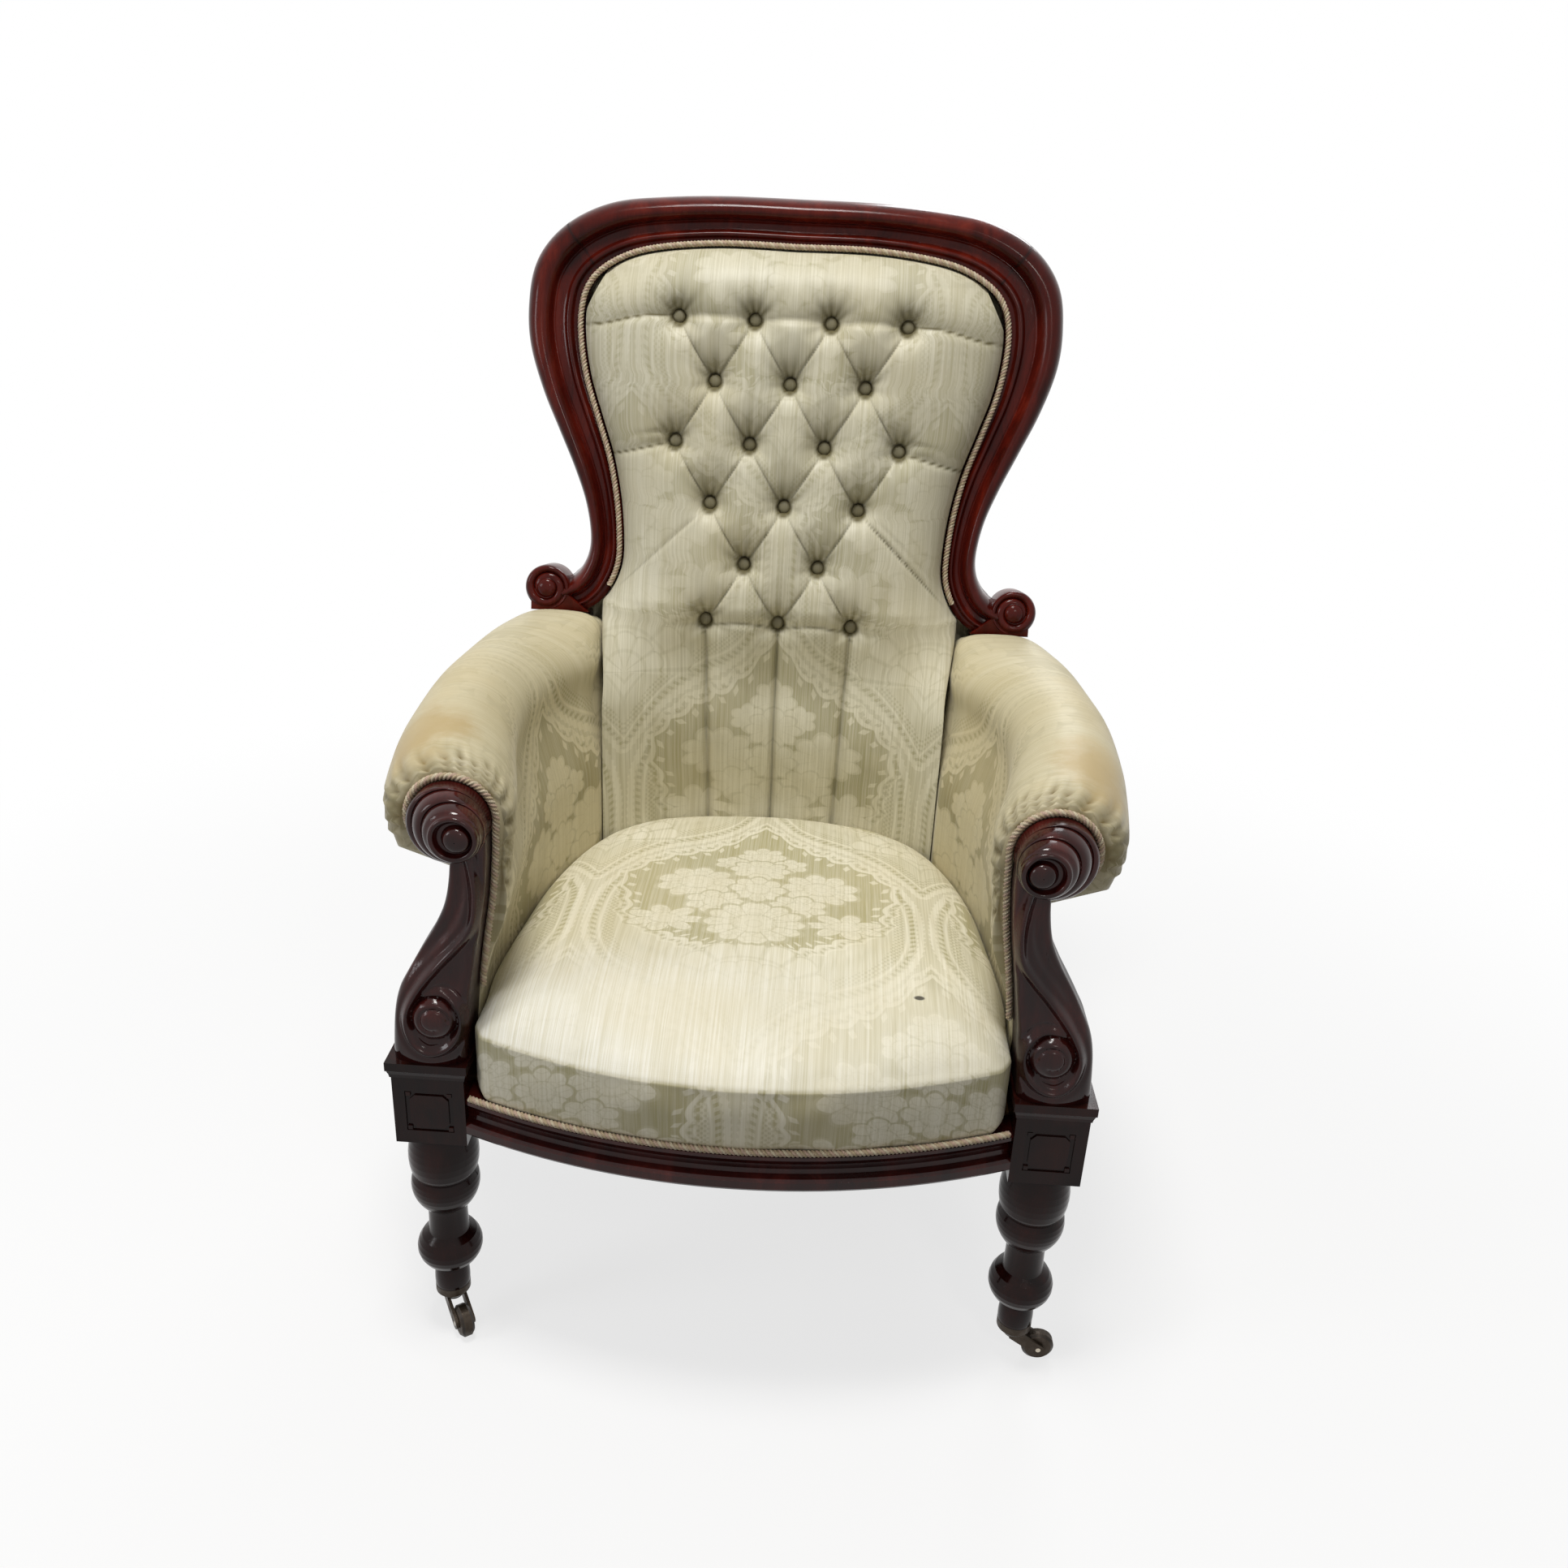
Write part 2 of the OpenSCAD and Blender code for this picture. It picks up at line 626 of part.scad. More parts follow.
// The scroll on top: discs that step forward and in towards its eye, and a stud in the eye
scroll_discs = 4;
arm_scroll_r = arm_scroll_w / 2;
arm_scroll_x = leg_x - half_block * 0.74;
arm_eye_x = leg_x - half_block * 1.17;
arm_eye_r = arm_scroll_r * 0.6;
arm_eye_rise = arm_scroll_r * 0.1;
arm_stud_r = arm_scroll_r * 0.33;
disc_round = arm_scroll_r * 0.14;
arm_eye_y = -half_block * 1.2;

module rounded_disc(r, long, edge) {
  steps = 5;
  rotate([90, 0, 0]) rotate_extrude()
    polygon(concat([[0, 0], [r, 0]],
      [for (i = [0:steps]) let (w = 90 * i / steps)
        [r - edge + edge * cos(w), long - edge + edge * sin(w)]],
      [[0, long]]));
}

module arm_support(side) {
  steps = 18;
  boss_x = leg_x - half_block * 0.2;
  boss_z = support_z + boss_r * 2.3;
  boss_y = -half_block * 1.02;
  color(mahogany) placed() sided(side) {
    skin([for (i = [0:steps]) support_ring(i / steps)]);
    for (k = [0:scroll_discs - 1]) let (t = k / (scroll_discs - 1))
      translate([mix(arm_scroll_x, arm_eye_x, t), support_back, support_top + t * arm_eye_rise])
        rounded_disc(mix(arm_scroll_r, arm_eye_r, t), support_back - mix(-half_block * 0.45, arm_eye_y, t),
          disc_round);
    translate([arm_eye_x - disc_round, support_back, support_top + arm_eye_rise])
      rounded_disc(arm_stud_r, support_back - arm_eye_y + disc_round, disc_round);
    translate([boss_x, 0, boss_z]) {
      rounded_disc(boss_r * 1.15, -boss_y, disc_round);
      rounded_disc(boss_r * 0.9, boss_r * 0.35 - boss_y, boss_r * 0.34);
    }
  }
}

// Plan of the seat: from the bowed front, round the sides, to the back
seat_half = leg_x - seat_inset;
seat_set = 2 * gimp_r;
// Front stretch: shares of half the width
seat_front_share = [0, 0.14, 0.28, 0.42, 0.56, 0.7, 0.83, 0.94];
// Side and back stretch: shares of half the width and of the depth
seat_side_share = [
  [0.978, -0.04], [0.978, 0.06], [0.988, 0.14], [0.982, 0.24], [0.958, 0.39], [0.925, 0.55],
  [0.862, 0.7], [0.764, 0.83],
  [0.65, 0.91], [0.508, 0.961], [0.325, 0.986], [0.163, 0.998], [0, 1]
];
side_steps = 20;
seat_side = [for (i = [0:side_steps]) let (s = along(seat_side_share, i / side_steps))
  [s[0] * seat_half, s[1] * seat_d]];
seat_right = concat(
  [for (s = seat_front_share) [s * seat_half, bow_front(s * seat_half) + seat_set]], seat_side);
seat_plan = concat(seat_right, [for (i = [len(seat_right) - 2:-1:1]) [-seat_right[i][0], seat_right[i][1]]]);
seat_mid = [0, seat_d * 0.42];
// The seat's edge as tables: half width for a depth, and depth for a half width
seat_x_table = [for (p = seat_side) [p[1], p[0]]];
seat_y_table = [for (i = [side_steps:-1:0]) [seat_side[i][0], seat_side[i][1]]];

// Rings of the cushion: share of the plan, share of the edge's height, share of the crown, and
// how far the front bulges as a share of the bulge
seat_ring_share = [
  [0.985, 0, 0, 0], [1, 0.12, 0, 0.35], [1, 0.45, 0, 1], [1, 0.78, 0, 0.9], [0.985, 0.93, 0, 0.6],
  [0.945, 1, 0.1, 0.2], [0.86, 1, 0.36, 0], [0.7, 1, 0.66, 0], [0.48, 1, 0.88, 0], [0.24, 1, 0.98, 0],
  [0.04, 1, 1, 0]
];
seat_bulge = 10;
front_reach = bow_r - bow_y - seat_set + seat_bulge;
mid_y = (rear_reach - front_reach) / 2;

function seat_ring(s) =
  [for (p = seat_plan)
    let (q = seat_mid + s[0] * (p - seat_mid), front = p[1] < 0 ? cos(90 * p[0] / seat_half) : 0)
    [q[0], q[1] - s[3] * seat_bulge * front,
      mix(rail_top, seat_h, s[1]) + s[2] * seat_crown]];

// The hollow under the stuffing, where the springs stand
hollow_share = 0.72;
stuffing_t = 44;
hollow_top = seat_h - stuffing_t;
hessian_t = 1.5;

module seat_plan_flat(share) {
  polygon([for (p = seat_plan) seat_mid + share * (p - seat_mid)]);
}

module seat_cushion() {
  color(damask) placed() difference() {
    skin([for (s = seat_ring_share) seat_ring(s)]);
    translate([0, 0, rail_top - cut]) linear_extrude(hollow_top - rail_top + cut)
      seat_plan_flat(hollow_share);
  }
}

module spring_hessian() {
  color(jute) placed() translate([0, 0, hollow_top - hessian_t]) linear_extrude(hessian_t)
    seat_plan_flat(hollow_share * 0.99);
}

// Springs on a grid over the crossings of the webbing
spring_pitch_x = seat_half * 0.423;
spring_pitch_y = seat_d * 0.257;
spring_y = seat_d * 0.41;
spring_r = 30;
spring_waist = 20;
wire = 4;
web_w = 50;
spring_grid = [for (x = [-1:1], y = [-1:1]) [x * spring_pitch_x, spring_y + y * spring_pitch_y]];

module seat_springs() {
  h = hollow_top - hessian_t - rail_z;
  color(steel) placed() for (p = spring_grid) translate([p[0], p[1], rail_z]) rotate_extrude()
    polygon([[spring_r - wire, 0], [spring_r, 0], [spring_waist, h / 2], [spring_r, h],
      [spring_r - wire, h], [spring_waist - wire, h / 2]]);
}

module seat_webbing() {
  front = bow_front(spring_pitch_x) + rail_t * 0.7;
  rear = hip_front + rail_t * 0.8;
  color(jute) placed() {
    for (x = [-1:1]) translate([x * spring_pitch_x - web_w / 2, front, rail_z - web_t])
      cube([web_w, rear - front, web_t]);
    for (y = [-1:1])
      let (m = spring_y + y * spring_pitch_y, end = rail_inner(m + web_w / 2) + rail_t * 0.6)
        translate([-end, m - web_w / 2, rail_z - 2 * web_t]) cube([2 * end, web_w, web_t]);
  }
}

module dust_cover() {
  cloth = web_t / 2;
  edge = rail_t * 0.25;
  front_steps = 12;
  wide = block_in - edge;
  color("#2a2622") placed() translate([0, 0, rail_z - 2 * web_t - cloth]) linear_extrude(cloth)
    polygon(concat(
      [for (i = [-front_steps:front_steps]) let (x = wide * i / front_steps) [x, bow_front(x) + edge]],
      [[wide, half_block + edge], [leg_x, half_block + edge], [rear_x, hip_front - edge],
        [hip_in - edge, hip_front - edge], [hip_in - edge, hip_front + rail_t - edge],
        [edge - hip_in, hip_front + rail_t - edge], [edge - hip_in, hip_front - edge],
        [-rear_x, hip_front - edge], [-leg_x, half_block + edge], [-wide, half_block + edge]]));
}

module seat_gimp() {
  steps = 30;
  wide = block_in - gimp_r * 1.2;
  color(damask) placed()
    rope([for (i = [-steps:steps]) let (x = wide * i / steps)
      [x, bow_front(x) + gimp_r + fit_gap, rail_top + gimp_r + fit_gap]], gimp_r);
}

// Back upholstery: rows of points from side to side, which dip at the buttons and pleats
back_inset = 26.6;
back_half = hip_in - back_inset;
tuft_z = scroll_z - scroll_r * 0.8;
column_half = 12;
outer_columns_share = [0.27, 0.53, 0.78, 1];
tuft_rows = 5;
row_split = 4;
top_row_share = [0.25, 0.5, 0.78, 1];
low_row_share = [0, 0.13, 0.28, 0.4, 0.54, 0.68, 0.81, 0.92];
corner_share = 0.23;
top_table = [for (i = [0:inner_steps]) let (q = mould_at(corner_share * i / inner_steps, 1)) [q[0], q[1]]];
corner = top_table[inner_steps];
column_w = button_dx / 2 / row_split;
border_in = cloth_t;
low_puff = 16;
pleat_deep = 9;
pleat_wide = 8;
dimple_wide = 12;
wrap_from = scroll_z - scroll_r * 4.8;
seam_from = scroll_z - scroll_r * 4;
seam_to = scroll_z - scroll_r * 0.56;
columns_wide = button_dx / 2 * 3;

// Buttons right of the middle: half spacings sideways, rows up
button_sites = [
  [0, 0], [2, 0], [1, 1], [0, 2], [2, 2], [1, 3], [3, 3], [0, 4], [2, 4], [1, 5], [3, 5]
];
// How far out the buttons reach in each row, in half spacings
tuft_edge = [[0, 2], [1, 1], [2, 2], [3, 3], [4, 2], [5, 3]];

// Half width of the stuffing at a height
function pad_edge(z) =
  z > seam_to ? lookup(z, inner_table) - soft_gap
  : mix(back_half, lookup(seam_to, inner_table) - soft_gap, ease((z - seam_from) / (seam_to - seam_from)));

function fade(d, wide) = exp(-pow(d / wide, 2));
function wave(t) = abs(sin(90 * t));
function top_limit(x) = lookup(x, top_table) - soft_gap;

// How far the surface is pulled in at a place by buttons and pleats
function pull_at(x, z) =
  let (half = button_dx / 2, a = abs(x) / half, b = (z - tuft_z) / button_dz,
    edge = lookup(min(max(b, 0), tuft_rows), tuft_edge),
    inside = b < 0 || b > tuft_rows ? 0 : a <= edge ? 1 : max(0, 1 - 2 * (a - edge)),
    pillow = 1 - sqrt(wave(a - b) * wave(a + b)),
    beside = b > 0 && a >= 3 ? max([for (row = [3, 5]) fade((b - row) * button_dz, pleat_wide)]) : 0,
    above = b > tuft_rows ? max(fade((a - 1) * half, pleat_wide), fade((a - 3) * half, pleat_wide)) : 0,
    below = b < 0 ? max(fade(a * half, pleat_wide), fade((a - 2) * half, pleat_wide)) : 0,
    dips = max([for (s = button_sites) fade(norm([(a - s[0]) * half, (b - s[1]) * button_dz]), dimple_wide)]))
  pleat_deep * max(inside * pillow, beside, above, below) + (button_pull - pleat_deep) * dips;

// Front of the stuffing, with rise as the share of the way from the top buttons to the top edge
function pad_front(x, z, rise) =
  let (p = min(1, abs(x) / pad_edge(min(z, corner[1]))),
    full = sqrt(1 - pow(p, 3)) * sqrt(1 - pow(rise, 2.5)),
    high = face_y(max(z, scroll_z)) + border_in - (back_puff + border_in) * full,
    swell = sin(180 * min(1, max(0, (z - seat_h) / (tuft_z - seat_h)))),
    behind = lookup(min(abs(x), seat_half), seat_y_table) + soft_gap * (1 + 2 * p * p),
    low = behind - low_puff * swell * (1 - pow(p, 4)),
    w = ease((z - wrap_from) / (scroll_z - wrap_from)),
    dip = pull_at(x, z) * (1 - pow(p, 6)) * (1 - rise * rise))
  mix(low, high, w) + dip;

// Face that the outside back cloth lies on
function rear_y(z) =
  let (hip = rear_hip_y + leg_thick / 2)
  z < rail_top ? hip
  : z < foot_top ? mix(hip, face_y(foot_top) + rear_t, (z - rail_top) / (foot_top - rail_top))
  : face_y(z) + rear_t;

function pad_ring(z, rise) =
  let (edge = pad_edge(z),
    inner = [for (i = [-column_half:column_half]) i * column_w],
    outer = [for (s = outer_columns_share) mix(columns_wide, edge, s)],
    xs = concat([for (i = [len(outer) - 1:-1:0]) -outer[i]], inner, outer),
    squeeze = mix(1, corner[0] / edge, rise),
    spots = [for (x = xs) let (q = x * squeeze) [q, mix(z, top_limit(abs(q)), rise)]],
    end = spots[len(spots) - 1])
  concat([for (q = spots) [q[0], pad_front(q[0], q[1], rise), q[1]]],
    [[end[0], rear_y(end[1]) - soft_gap, end[1]], [-end[0], rear_y(end[1]) - soft_gap, end[1]]]);

module back_upholstery() {
  top_z = tuft_z + tuft_rows * button_dz;
  color(damask) placed()
    skin(concat(
      [for (s = low_row_share) pad_ring(mix(rail_top, tuft_z, s), 0)],
      [for (k = [0:tuft_rows * row_split]) pad_ring(tuft_z + k * button_dz / row_split, 0)],
      [for (f = top_row_share) pad_ring(top_z, f)]), [0, 1, 0], "fan");
}

module back_buttons() {
  rise = button_r * 1.65;
  dome = button_r * 0.45;
  color(damask) placed() for (s = button_sites, side = s[0] > 0 ? [-1, 1] : [1])
    let (x = side * s[0] * button_dx / 2, z = tuft_z + s[1] * button_dz)
      translate([x, pad_front(x, z, 0) - fit_gap, z]) rotate([90, 0, 0]) rotate_extrude()
        polygon([[0, 0], [button_r, rise], [button_r, rise + dome * 0.3], [button_r * 0.7, rise + dome * 0.8],
          [0, rise + dome]]);
}

module back_gimp() {
  steps = 44;
  from_share = 0.86;
  right = [for (i = [0:steps])
    let (u = from_share * (1 - i / steps), q = mould_at(u, 1 - gimp_r / along(back_curve, u)[2]))
    [q[0], face_y(q[1]) - gimp_r - face_gap, q[1]]];
  color(damask) placed()
    rope(concat(right, [for (i = [steps - 1:-1:0]) [-right[i][0], right[i][1], right[i][2]]]), gimp_r, 6);
}

module outside_back() {
  steps = 22;
  wide = rear_x + leg_wide / 2 + fit_gap + cloth_t;
  line = [for (i = [0:steps]) mould_at(mix(0.88, 0.02, i / steps), 0.45)];
  rows = concat([[wide, rail_z], [wide, rail_top], [wide, foot_top - cloth_t], [wide, foot_top]], line);
  color(damask) placed()
    skin([for (q = rows) let (y = rear_y(q[1]) + fit_gap)
      [[-q[0], y, q[1]], [q[0], y, q[1]], [q[0], y + cloth_t, q[1]], [-q[0], y + cloth_t, q[1]]]]);
}

// Arm pads: rows of points round the arm, from the support back to the upright
half_span = arm_span / 2;
arm_end = hip_front - face_gap;
arm_rise = 24;
// Each row: shares of the length, of the swell inwards, of the half span reached outwards, of
// the roll's radius and of the gap that is filled between the roll and the inner wall
arm_share = [
  [0, 1, 0.89, 0.8, 0], [0.012, 1, 0.916, 0.91, 0], [0.035, 1, 0.936, 0.97, 0],
  [0.09, 0.95, 0.956, 1, 0], [0.2, 0.75, 0.977, 0.96, 0], [0.3, 0.5, 0.992, 0.92, 0.05],
  [0.4, 0.3, 1, 0.88, 0.15], [0.52, 0.1, 0.998, 0.83, 0.3], [0.64, 0, 0.986, 0.79, 0.5],
  [0.76, 0, 0.965, 0.755, 0.75], [0.86, 0, 0.936, 0.72, 0.95], [0.94, 0, 0.895, 0.7, 1],
  [0.952, 0, 0.87, 0.53, 1], [1, 0, 0.85, 0.5, 1]
];
swell_in = 28;
skin_gap = 0.5;
roll_steps = 12;
roll_from = 205;
roll_to = -35;
neck_z = support_z + arm_scroll_rise * 0.58;
wall_z = support_z + arm_scroll_rise * 0.2;

function arm_y(s) = mix(arm_front + face_gap, arm_end, s);
function arm_inner(y) = max(back_half, y < 0 ? seat_half : lookup(y, seat_x_table)) + soft_gap;
function roll_r(s) = s[3] * arm_r;
function roll_x(s) = s[2] * half_span - roll_r(s);
function roll_z(s) = arm_z + arm_rise * min(1, s[0]);
function wall_out(s) = mix(leg_x + half_block * 0.52, rear_x + leg_wide / 2 + fit_gap, s[0]);
function neck_out(s) = min(wall_out(s), roll_x(s) - roll_r(s) * 0.12);

// Outer side of the arm, from the roll down to the rail
function outer_wall(s) =
  [[neck_out(s), roll_z(s) - roll_r(s) * 0.9], [neck_out(s), neck_z],
    [mix(neck_out(s), wall_out(s), 0.6), mix(neck_z, wall_z, 0.55)],
    [wall_out(s), wall_z], [wall_out(s), rail_top]];

function arm_ring(s) =
  let (y = arm_y(s[0]), x = arm_inner(y), gap = s[4] * (roll_x(s) - roll_r(s) - x))
  concat(
    [[x, y, rail_top], [x, y, seat_h], [x - s[1] * swell_in * 0.4, y, mix(seat_h, neck_z, 0.5)],
      [x - s[1] * swell_in, y, neck_z]],
    [for (i = [0:roll_steps]) let (w = mix(roll_from, roll_to, i / roll_steps))
      let (z = roll_z(s) + roll_r(s) * sin(w))
        [max(roll_x(s) + roll_r(s) * cos(w) + gap * min(0, cos(w)), pad_edge(z) + soft_gap), y, z]],
    [for (p = outer_wall(s)) [p[0], y, p[1]]]);

// The wooden rail inside the roll
arm_rail_h = 24;
arm_rail_w = 30;
arm_rail_z = arm_z - arm_rail_h * 0.2;
arm_rail_line = concat(
  [for (i = [0, 4, 6, 8, 10]) let (s = arm_share[i])
    [roll_x(s) - roll_r(s) * 0.15, i > 0 ? arm_y(s[0]) : arm_front]],
  [[rear_x, arm_y(arm_share[12][0])], [rear_x, hip_front]]);

module arm_rail_shape() {
  side = [arm_rail_w / 2, 0];
  translate([0, 0, arm_rail_z]) linear_extrude(arm_rail_h)
    polygon(concat([for (p = arm_rail_line) p - side],
      [for (i = [len(arm_rail_line) - 1:-1:0]) arm_rail_line[i] + side]));
}

module arm_rail(side) {
  color(beech) placed() sided(side) arm_rail_shape();
}

// Room for the leg block and its collar
module block_room() {
  translate([0, 0, rail_z])
    cube([half_span, half_block + collar_lip + face_gap, support_z + face_gap - rail_z]);
}

module arm_pad(side) {
  color(damask) placed() sided(side) difference() {
    skin([for (s = arm_share) arm_ring(s)], [1, 0, 0], "strips");
    arm_rail_shape();
    block_room();
  }
}

// A row of the outside cloth, from the points of the wall inside it
function wall_ring(wall) =
  let (n = len(wall) - 1)
  concat([for (p = wall) p + [skin_gap + cloth_t, 0, 0]],
    [for (i = [n:-1:0]) wall[i] + [skin_gap, 0, 0]]);

module outside_arm(side) {
  x = wall_out(arm_share[len(arm_share) - 1]);
  levels_share = [0, 0.45, 0.75, 0.9, 1];
  hip_rear = rear_hip_y + leg_thick / 2 - fit_gap;
  color(damask) placed() sided(side) difference() {
    skin(concat(
      [for (s = arm_share) wall_ring([for (p = outer_wall(s)) [p[0], arm_y(s[0]), p[1]]])],
      [for (top = [hip_front, upright_rear])
        wall_ring([for (t = levels_share)
          [x, top < upright_rear ? top : mix(top, hip_rear, t), mix(foot_z(top) - face_gap, rail_top, t)]])]),
      [1, 0, 0]);
    block_room();
  }
}

// Rope round the arm scroll and down the inner edge of the support
module arm_gimp(side) {
  steps = 16;
  turn_from = 180;
  turn_to = -20;
  level_table = [for (i = [0:len(support_share) - 1]) [support_share[i][0], i / (len(support_share) - 1)]];
  low_share = lookup((seat_h + 2 * gimp_r - support_z) / arm_scroll_rise, level_table);
  high_share = 0.92;
  y = arm_front - gimp_r;
  gap = gimp_r + face_gap;
  color(damask) placed() sided(side)
    rope(concat(
      [for (i = [0:steps]) let (s = support_edge(mix(low_share, high_share, i / steps)))
        [leg_x + s[1] * half_block - gap, y, mix(support_z, support_top, s[0])]],
      [for (i = [0:steps]) let (w = mix(turn_from, turn_to, i / steps))
        [arm_scroll_x + (arm_scroll_r + gap) * cos(w), y, support_top + (arm_scroll_r + gap) * sin(w)]]),
      gimp_r, 6);
}

crest_rail();
back_stile(-1);  // back_stile_left
back_stile(1);  // back_stile_right
front_leg(-1);  // front_leg_left
front_leg(1);  // front_leg_right
rear_leg(-1);  // rear_leg_left
rear_leg(1);  // rear_leg_right
arm_support(-1);  // arm_support_left
arm_support(1);  // arm_support_right
arm_rail(-1);  // arm_rail_left
arm_rail(1);  // arm_rail_right
front_rail();
side_rail(-1);  // side_rail_left
side_rail(1);  // side_rail_right
back_rail();
corner_blocks();
block_screws();
rail_dowels();
seat_webbing();
seat_springs();
spring_hessian();
dust_cover();
seat_cushion();
seat_gimp();
back_upholstery();
back_buttons();
back_gimp();
outside_back();
arm_pad(-1);  // arm_pad_left
arm_pad(1);  // arm_pad_right
arm_gimp(-1);  // arm_gimp_left
arm_gimp(1);  // arm_gimp_right
outside_arm(-1);  // outside_arm_left
outside_arm(1);  // outside_arm_right
castor_cup(front_left);  // castor_cup_front_left
castor_cup(front_right);  // castor_cup_front_right
castor_cup(rear_left);  // castor_cup_rear_left
castor_cup(rear_right);  // castor_cup_rear_right
castor_fork(front_left);  // castor_fork_front_left
castor_fork(front_right);  // castor_fork_front_right
castor_fork(rear_left);  // castor_fork_rear_left
castor_fork(rear_right);  // castor_fork_rear_right
castor_wheel(front_left);  // castor_wheel_front_left
castor_wheel(front_right);  // castor_wheel_front_right
castor_wheel(rear_left);  // castor_wheel_rear_left
castor_wheel(rear_right);  // castor_wheel_rear_right
castor_axle(front_left);  // castor_axle_front_left
castor_axle(front_right);  // castor_axle_front_right
castor_axle(rear_left);  // castor_axle_rear_left
castor_axle(rear_right);  // castor_axle_rear_right
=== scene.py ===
# Spoon back armchair: the dressed model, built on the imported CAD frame.
# Shapes are in millimetres in the CAD's own layout, with Y from the axis of the front legs.
# Materials, lamps and camera are in metres in the shared frame, but for the damask's figure.
import math
import bpy
import numpy as np
from mathutils import Matrix, Vector


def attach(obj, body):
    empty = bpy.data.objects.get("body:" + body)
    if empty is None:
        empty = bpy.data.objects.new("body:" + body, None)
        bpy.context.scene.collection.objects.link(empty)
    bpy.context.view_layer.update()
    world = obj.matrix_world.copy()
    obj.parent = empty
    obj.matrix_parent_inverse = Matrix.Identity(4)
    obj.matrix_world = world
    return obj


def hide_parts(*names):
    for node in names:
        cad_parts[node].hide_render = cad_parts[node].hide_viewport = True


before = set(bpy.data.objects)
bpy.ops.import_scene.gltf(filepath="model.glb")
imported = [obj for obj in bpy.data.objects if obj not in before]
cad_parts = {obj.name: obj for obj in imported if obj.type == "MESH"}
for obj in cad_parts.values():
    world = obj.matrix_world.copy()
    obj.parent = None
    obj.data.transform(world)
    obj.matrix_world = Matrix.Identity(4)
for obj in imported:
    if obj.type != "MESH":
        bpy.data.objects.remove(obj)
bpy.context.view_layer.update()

MM = 0.001
# The chair's middle, from the axis of the front legs
MID_Y = 240.36

# Sizes that the CAD and this file share
LEG_X, REAR_X, HALF_BLOCK = 282.0, 235.0, 33.0
SUPPORT_Z, RAIL_Z, RAIL_TOP = 334.0, 256.0, 293.0
OVERALL_H, SCROLL_X, SCROLL_Z, SCROLL_R = 1055.0, 263.0, 640.0, 25.0
RAKE = math.radians(11.1)
LEAN = math.tan(RAKE)
BACK_Y, FRAME_W, FRAME_T, BACK_W = 454.0, 65.0, 45.0, 583.0
FRONT_SHARE = 0.3
FRONT_T = FRONT_SHARE * FRAME_T
REAR_T = FRAME_T - FRONT_T
SEAT_H, CROWN, SEAT_D, SEAT_HALF = 385.0, 20.0, 436.0, 246.0
BACK_PUFF, BUTTON_DX, BUTTON_DZ, BUTTON_R, BUTTON_PULL = 50.0, 81.0, 62.9, 7.0, 26.0
ARM_Z, ARM_R, ARM_RISE, HALF_SPAN = 556.0, 60.0, 24.0, 345.0
ARM_SCROLL_R, ARM_SCROLL_RISE, BOSS_R = 35.0, 226.0, 20.5
GIMP_R, CLOTH_T, SOFT_GAP, FACE_GAP, FIT_GAP = 3.4, 2.5, 1.5, 0.3, 0.1
SUPPORT_D, COLLAR_LIP = 43.0, 4.0
ARM_FRONT = SUPPORT_D - HALF_BLOCK + COLLAR_LIP / 2
HIP_Y, HIP_HALF = 479.0, 20.0
HIP_FRONT = HIP_Y - HIP_HALF
LEG_WIDE, RAIL_BOW = 36.0, 50.0
BLOCK_IN = LEG_X - HALF_BLOCK
BOW_R = (BLOCK_IN ** 2 + RAIL_BOW ** 2) / (2 * RAIL_BOW)
BOW_Y = BOW_R - RAIL_BOW - HALF_BLOCK
SUPPORT_TOP = SUPPORT_Z + ARM_SCROLL_RISE
TUFT_Z = SCROLL_Z - 0.8 * SCROLL_R
BACK_INSET = 26.6
BACK_HALF = REAR_X - LEG_WIDE / 2 - BACK_INSET
HALF_DX = BUTTON_DX / 2
FOOT_DROP = SCROLL_R * 1.04
FOOT_TOP = SCROLL_Z - FOOT_DROP * math.cos(RAKE)
# How far the arms' covers keep above and behind the leg block's collar
# LAY is the share of its thickness by which an outside cloth lies off its ground
COLLAR_OVER, COLLAR_BEHIND, LAY = 0.6, 4.6, 0.6
# Thickness of the cloth on the outsides, and of the black cloth under the seat
OUTSIDE_T, DUST_T = 1.2, 0.6
# Angles past which a carved edge is left sharp, in degrees
CARVED_SHARP, SUPPORT_SHARP = 38, 60


# Curves and meshes

def ease(t):
    """A smooth step from 0 to 1"""
    t = np.clip(t, 0, 1)
    return t * t * (3 - 2 * t)


def mix(a, b, t):
    """From a to b, by the share t"""
    return a + (b - a) * t


def along(table, u):
    """Points of the smooth curve through the rows of a table, for u from 0 to 1"""
    p = np.asarray(table, float)
    u = np.atleast_1d(np.asarray(u, float))
    n = len(p) - 1
    i = np.clip(np.floor(u * n).astype(int), 0, n - 1)
    t = (u * n - i)[:, None]
    a, b, c, d = p[np.maximum(i - 1, 0)], p[i], p[i + 1], p[np.minimum(i + 2, n)]
    return 0.5 * (2 * b + (c - a) * t + (2 * a - 5 * b + 4 * c - d) * t ** 2
                  + (3 * b - a - 3 * c + d) * t ** 3)


def fade(d, wide):
    """1 at no distance, falling away over a width"""
    return np.exp(-(d / wide) ** 2)


def interp(x, table):
    """Between the rows of a table of two columns, which may stand in any order"""
    table = np.asarray(table, float)
    order = np.argsort(table[:, 0])
    return np.interp(x, table[order, 0], table[order, 1])


def arc_length(p):
    """Length of a line up to each of its points"""
    return np.r_[0, np.cumsum(np.linalg.norm(np.diff(p, axis=0), axis=1))]


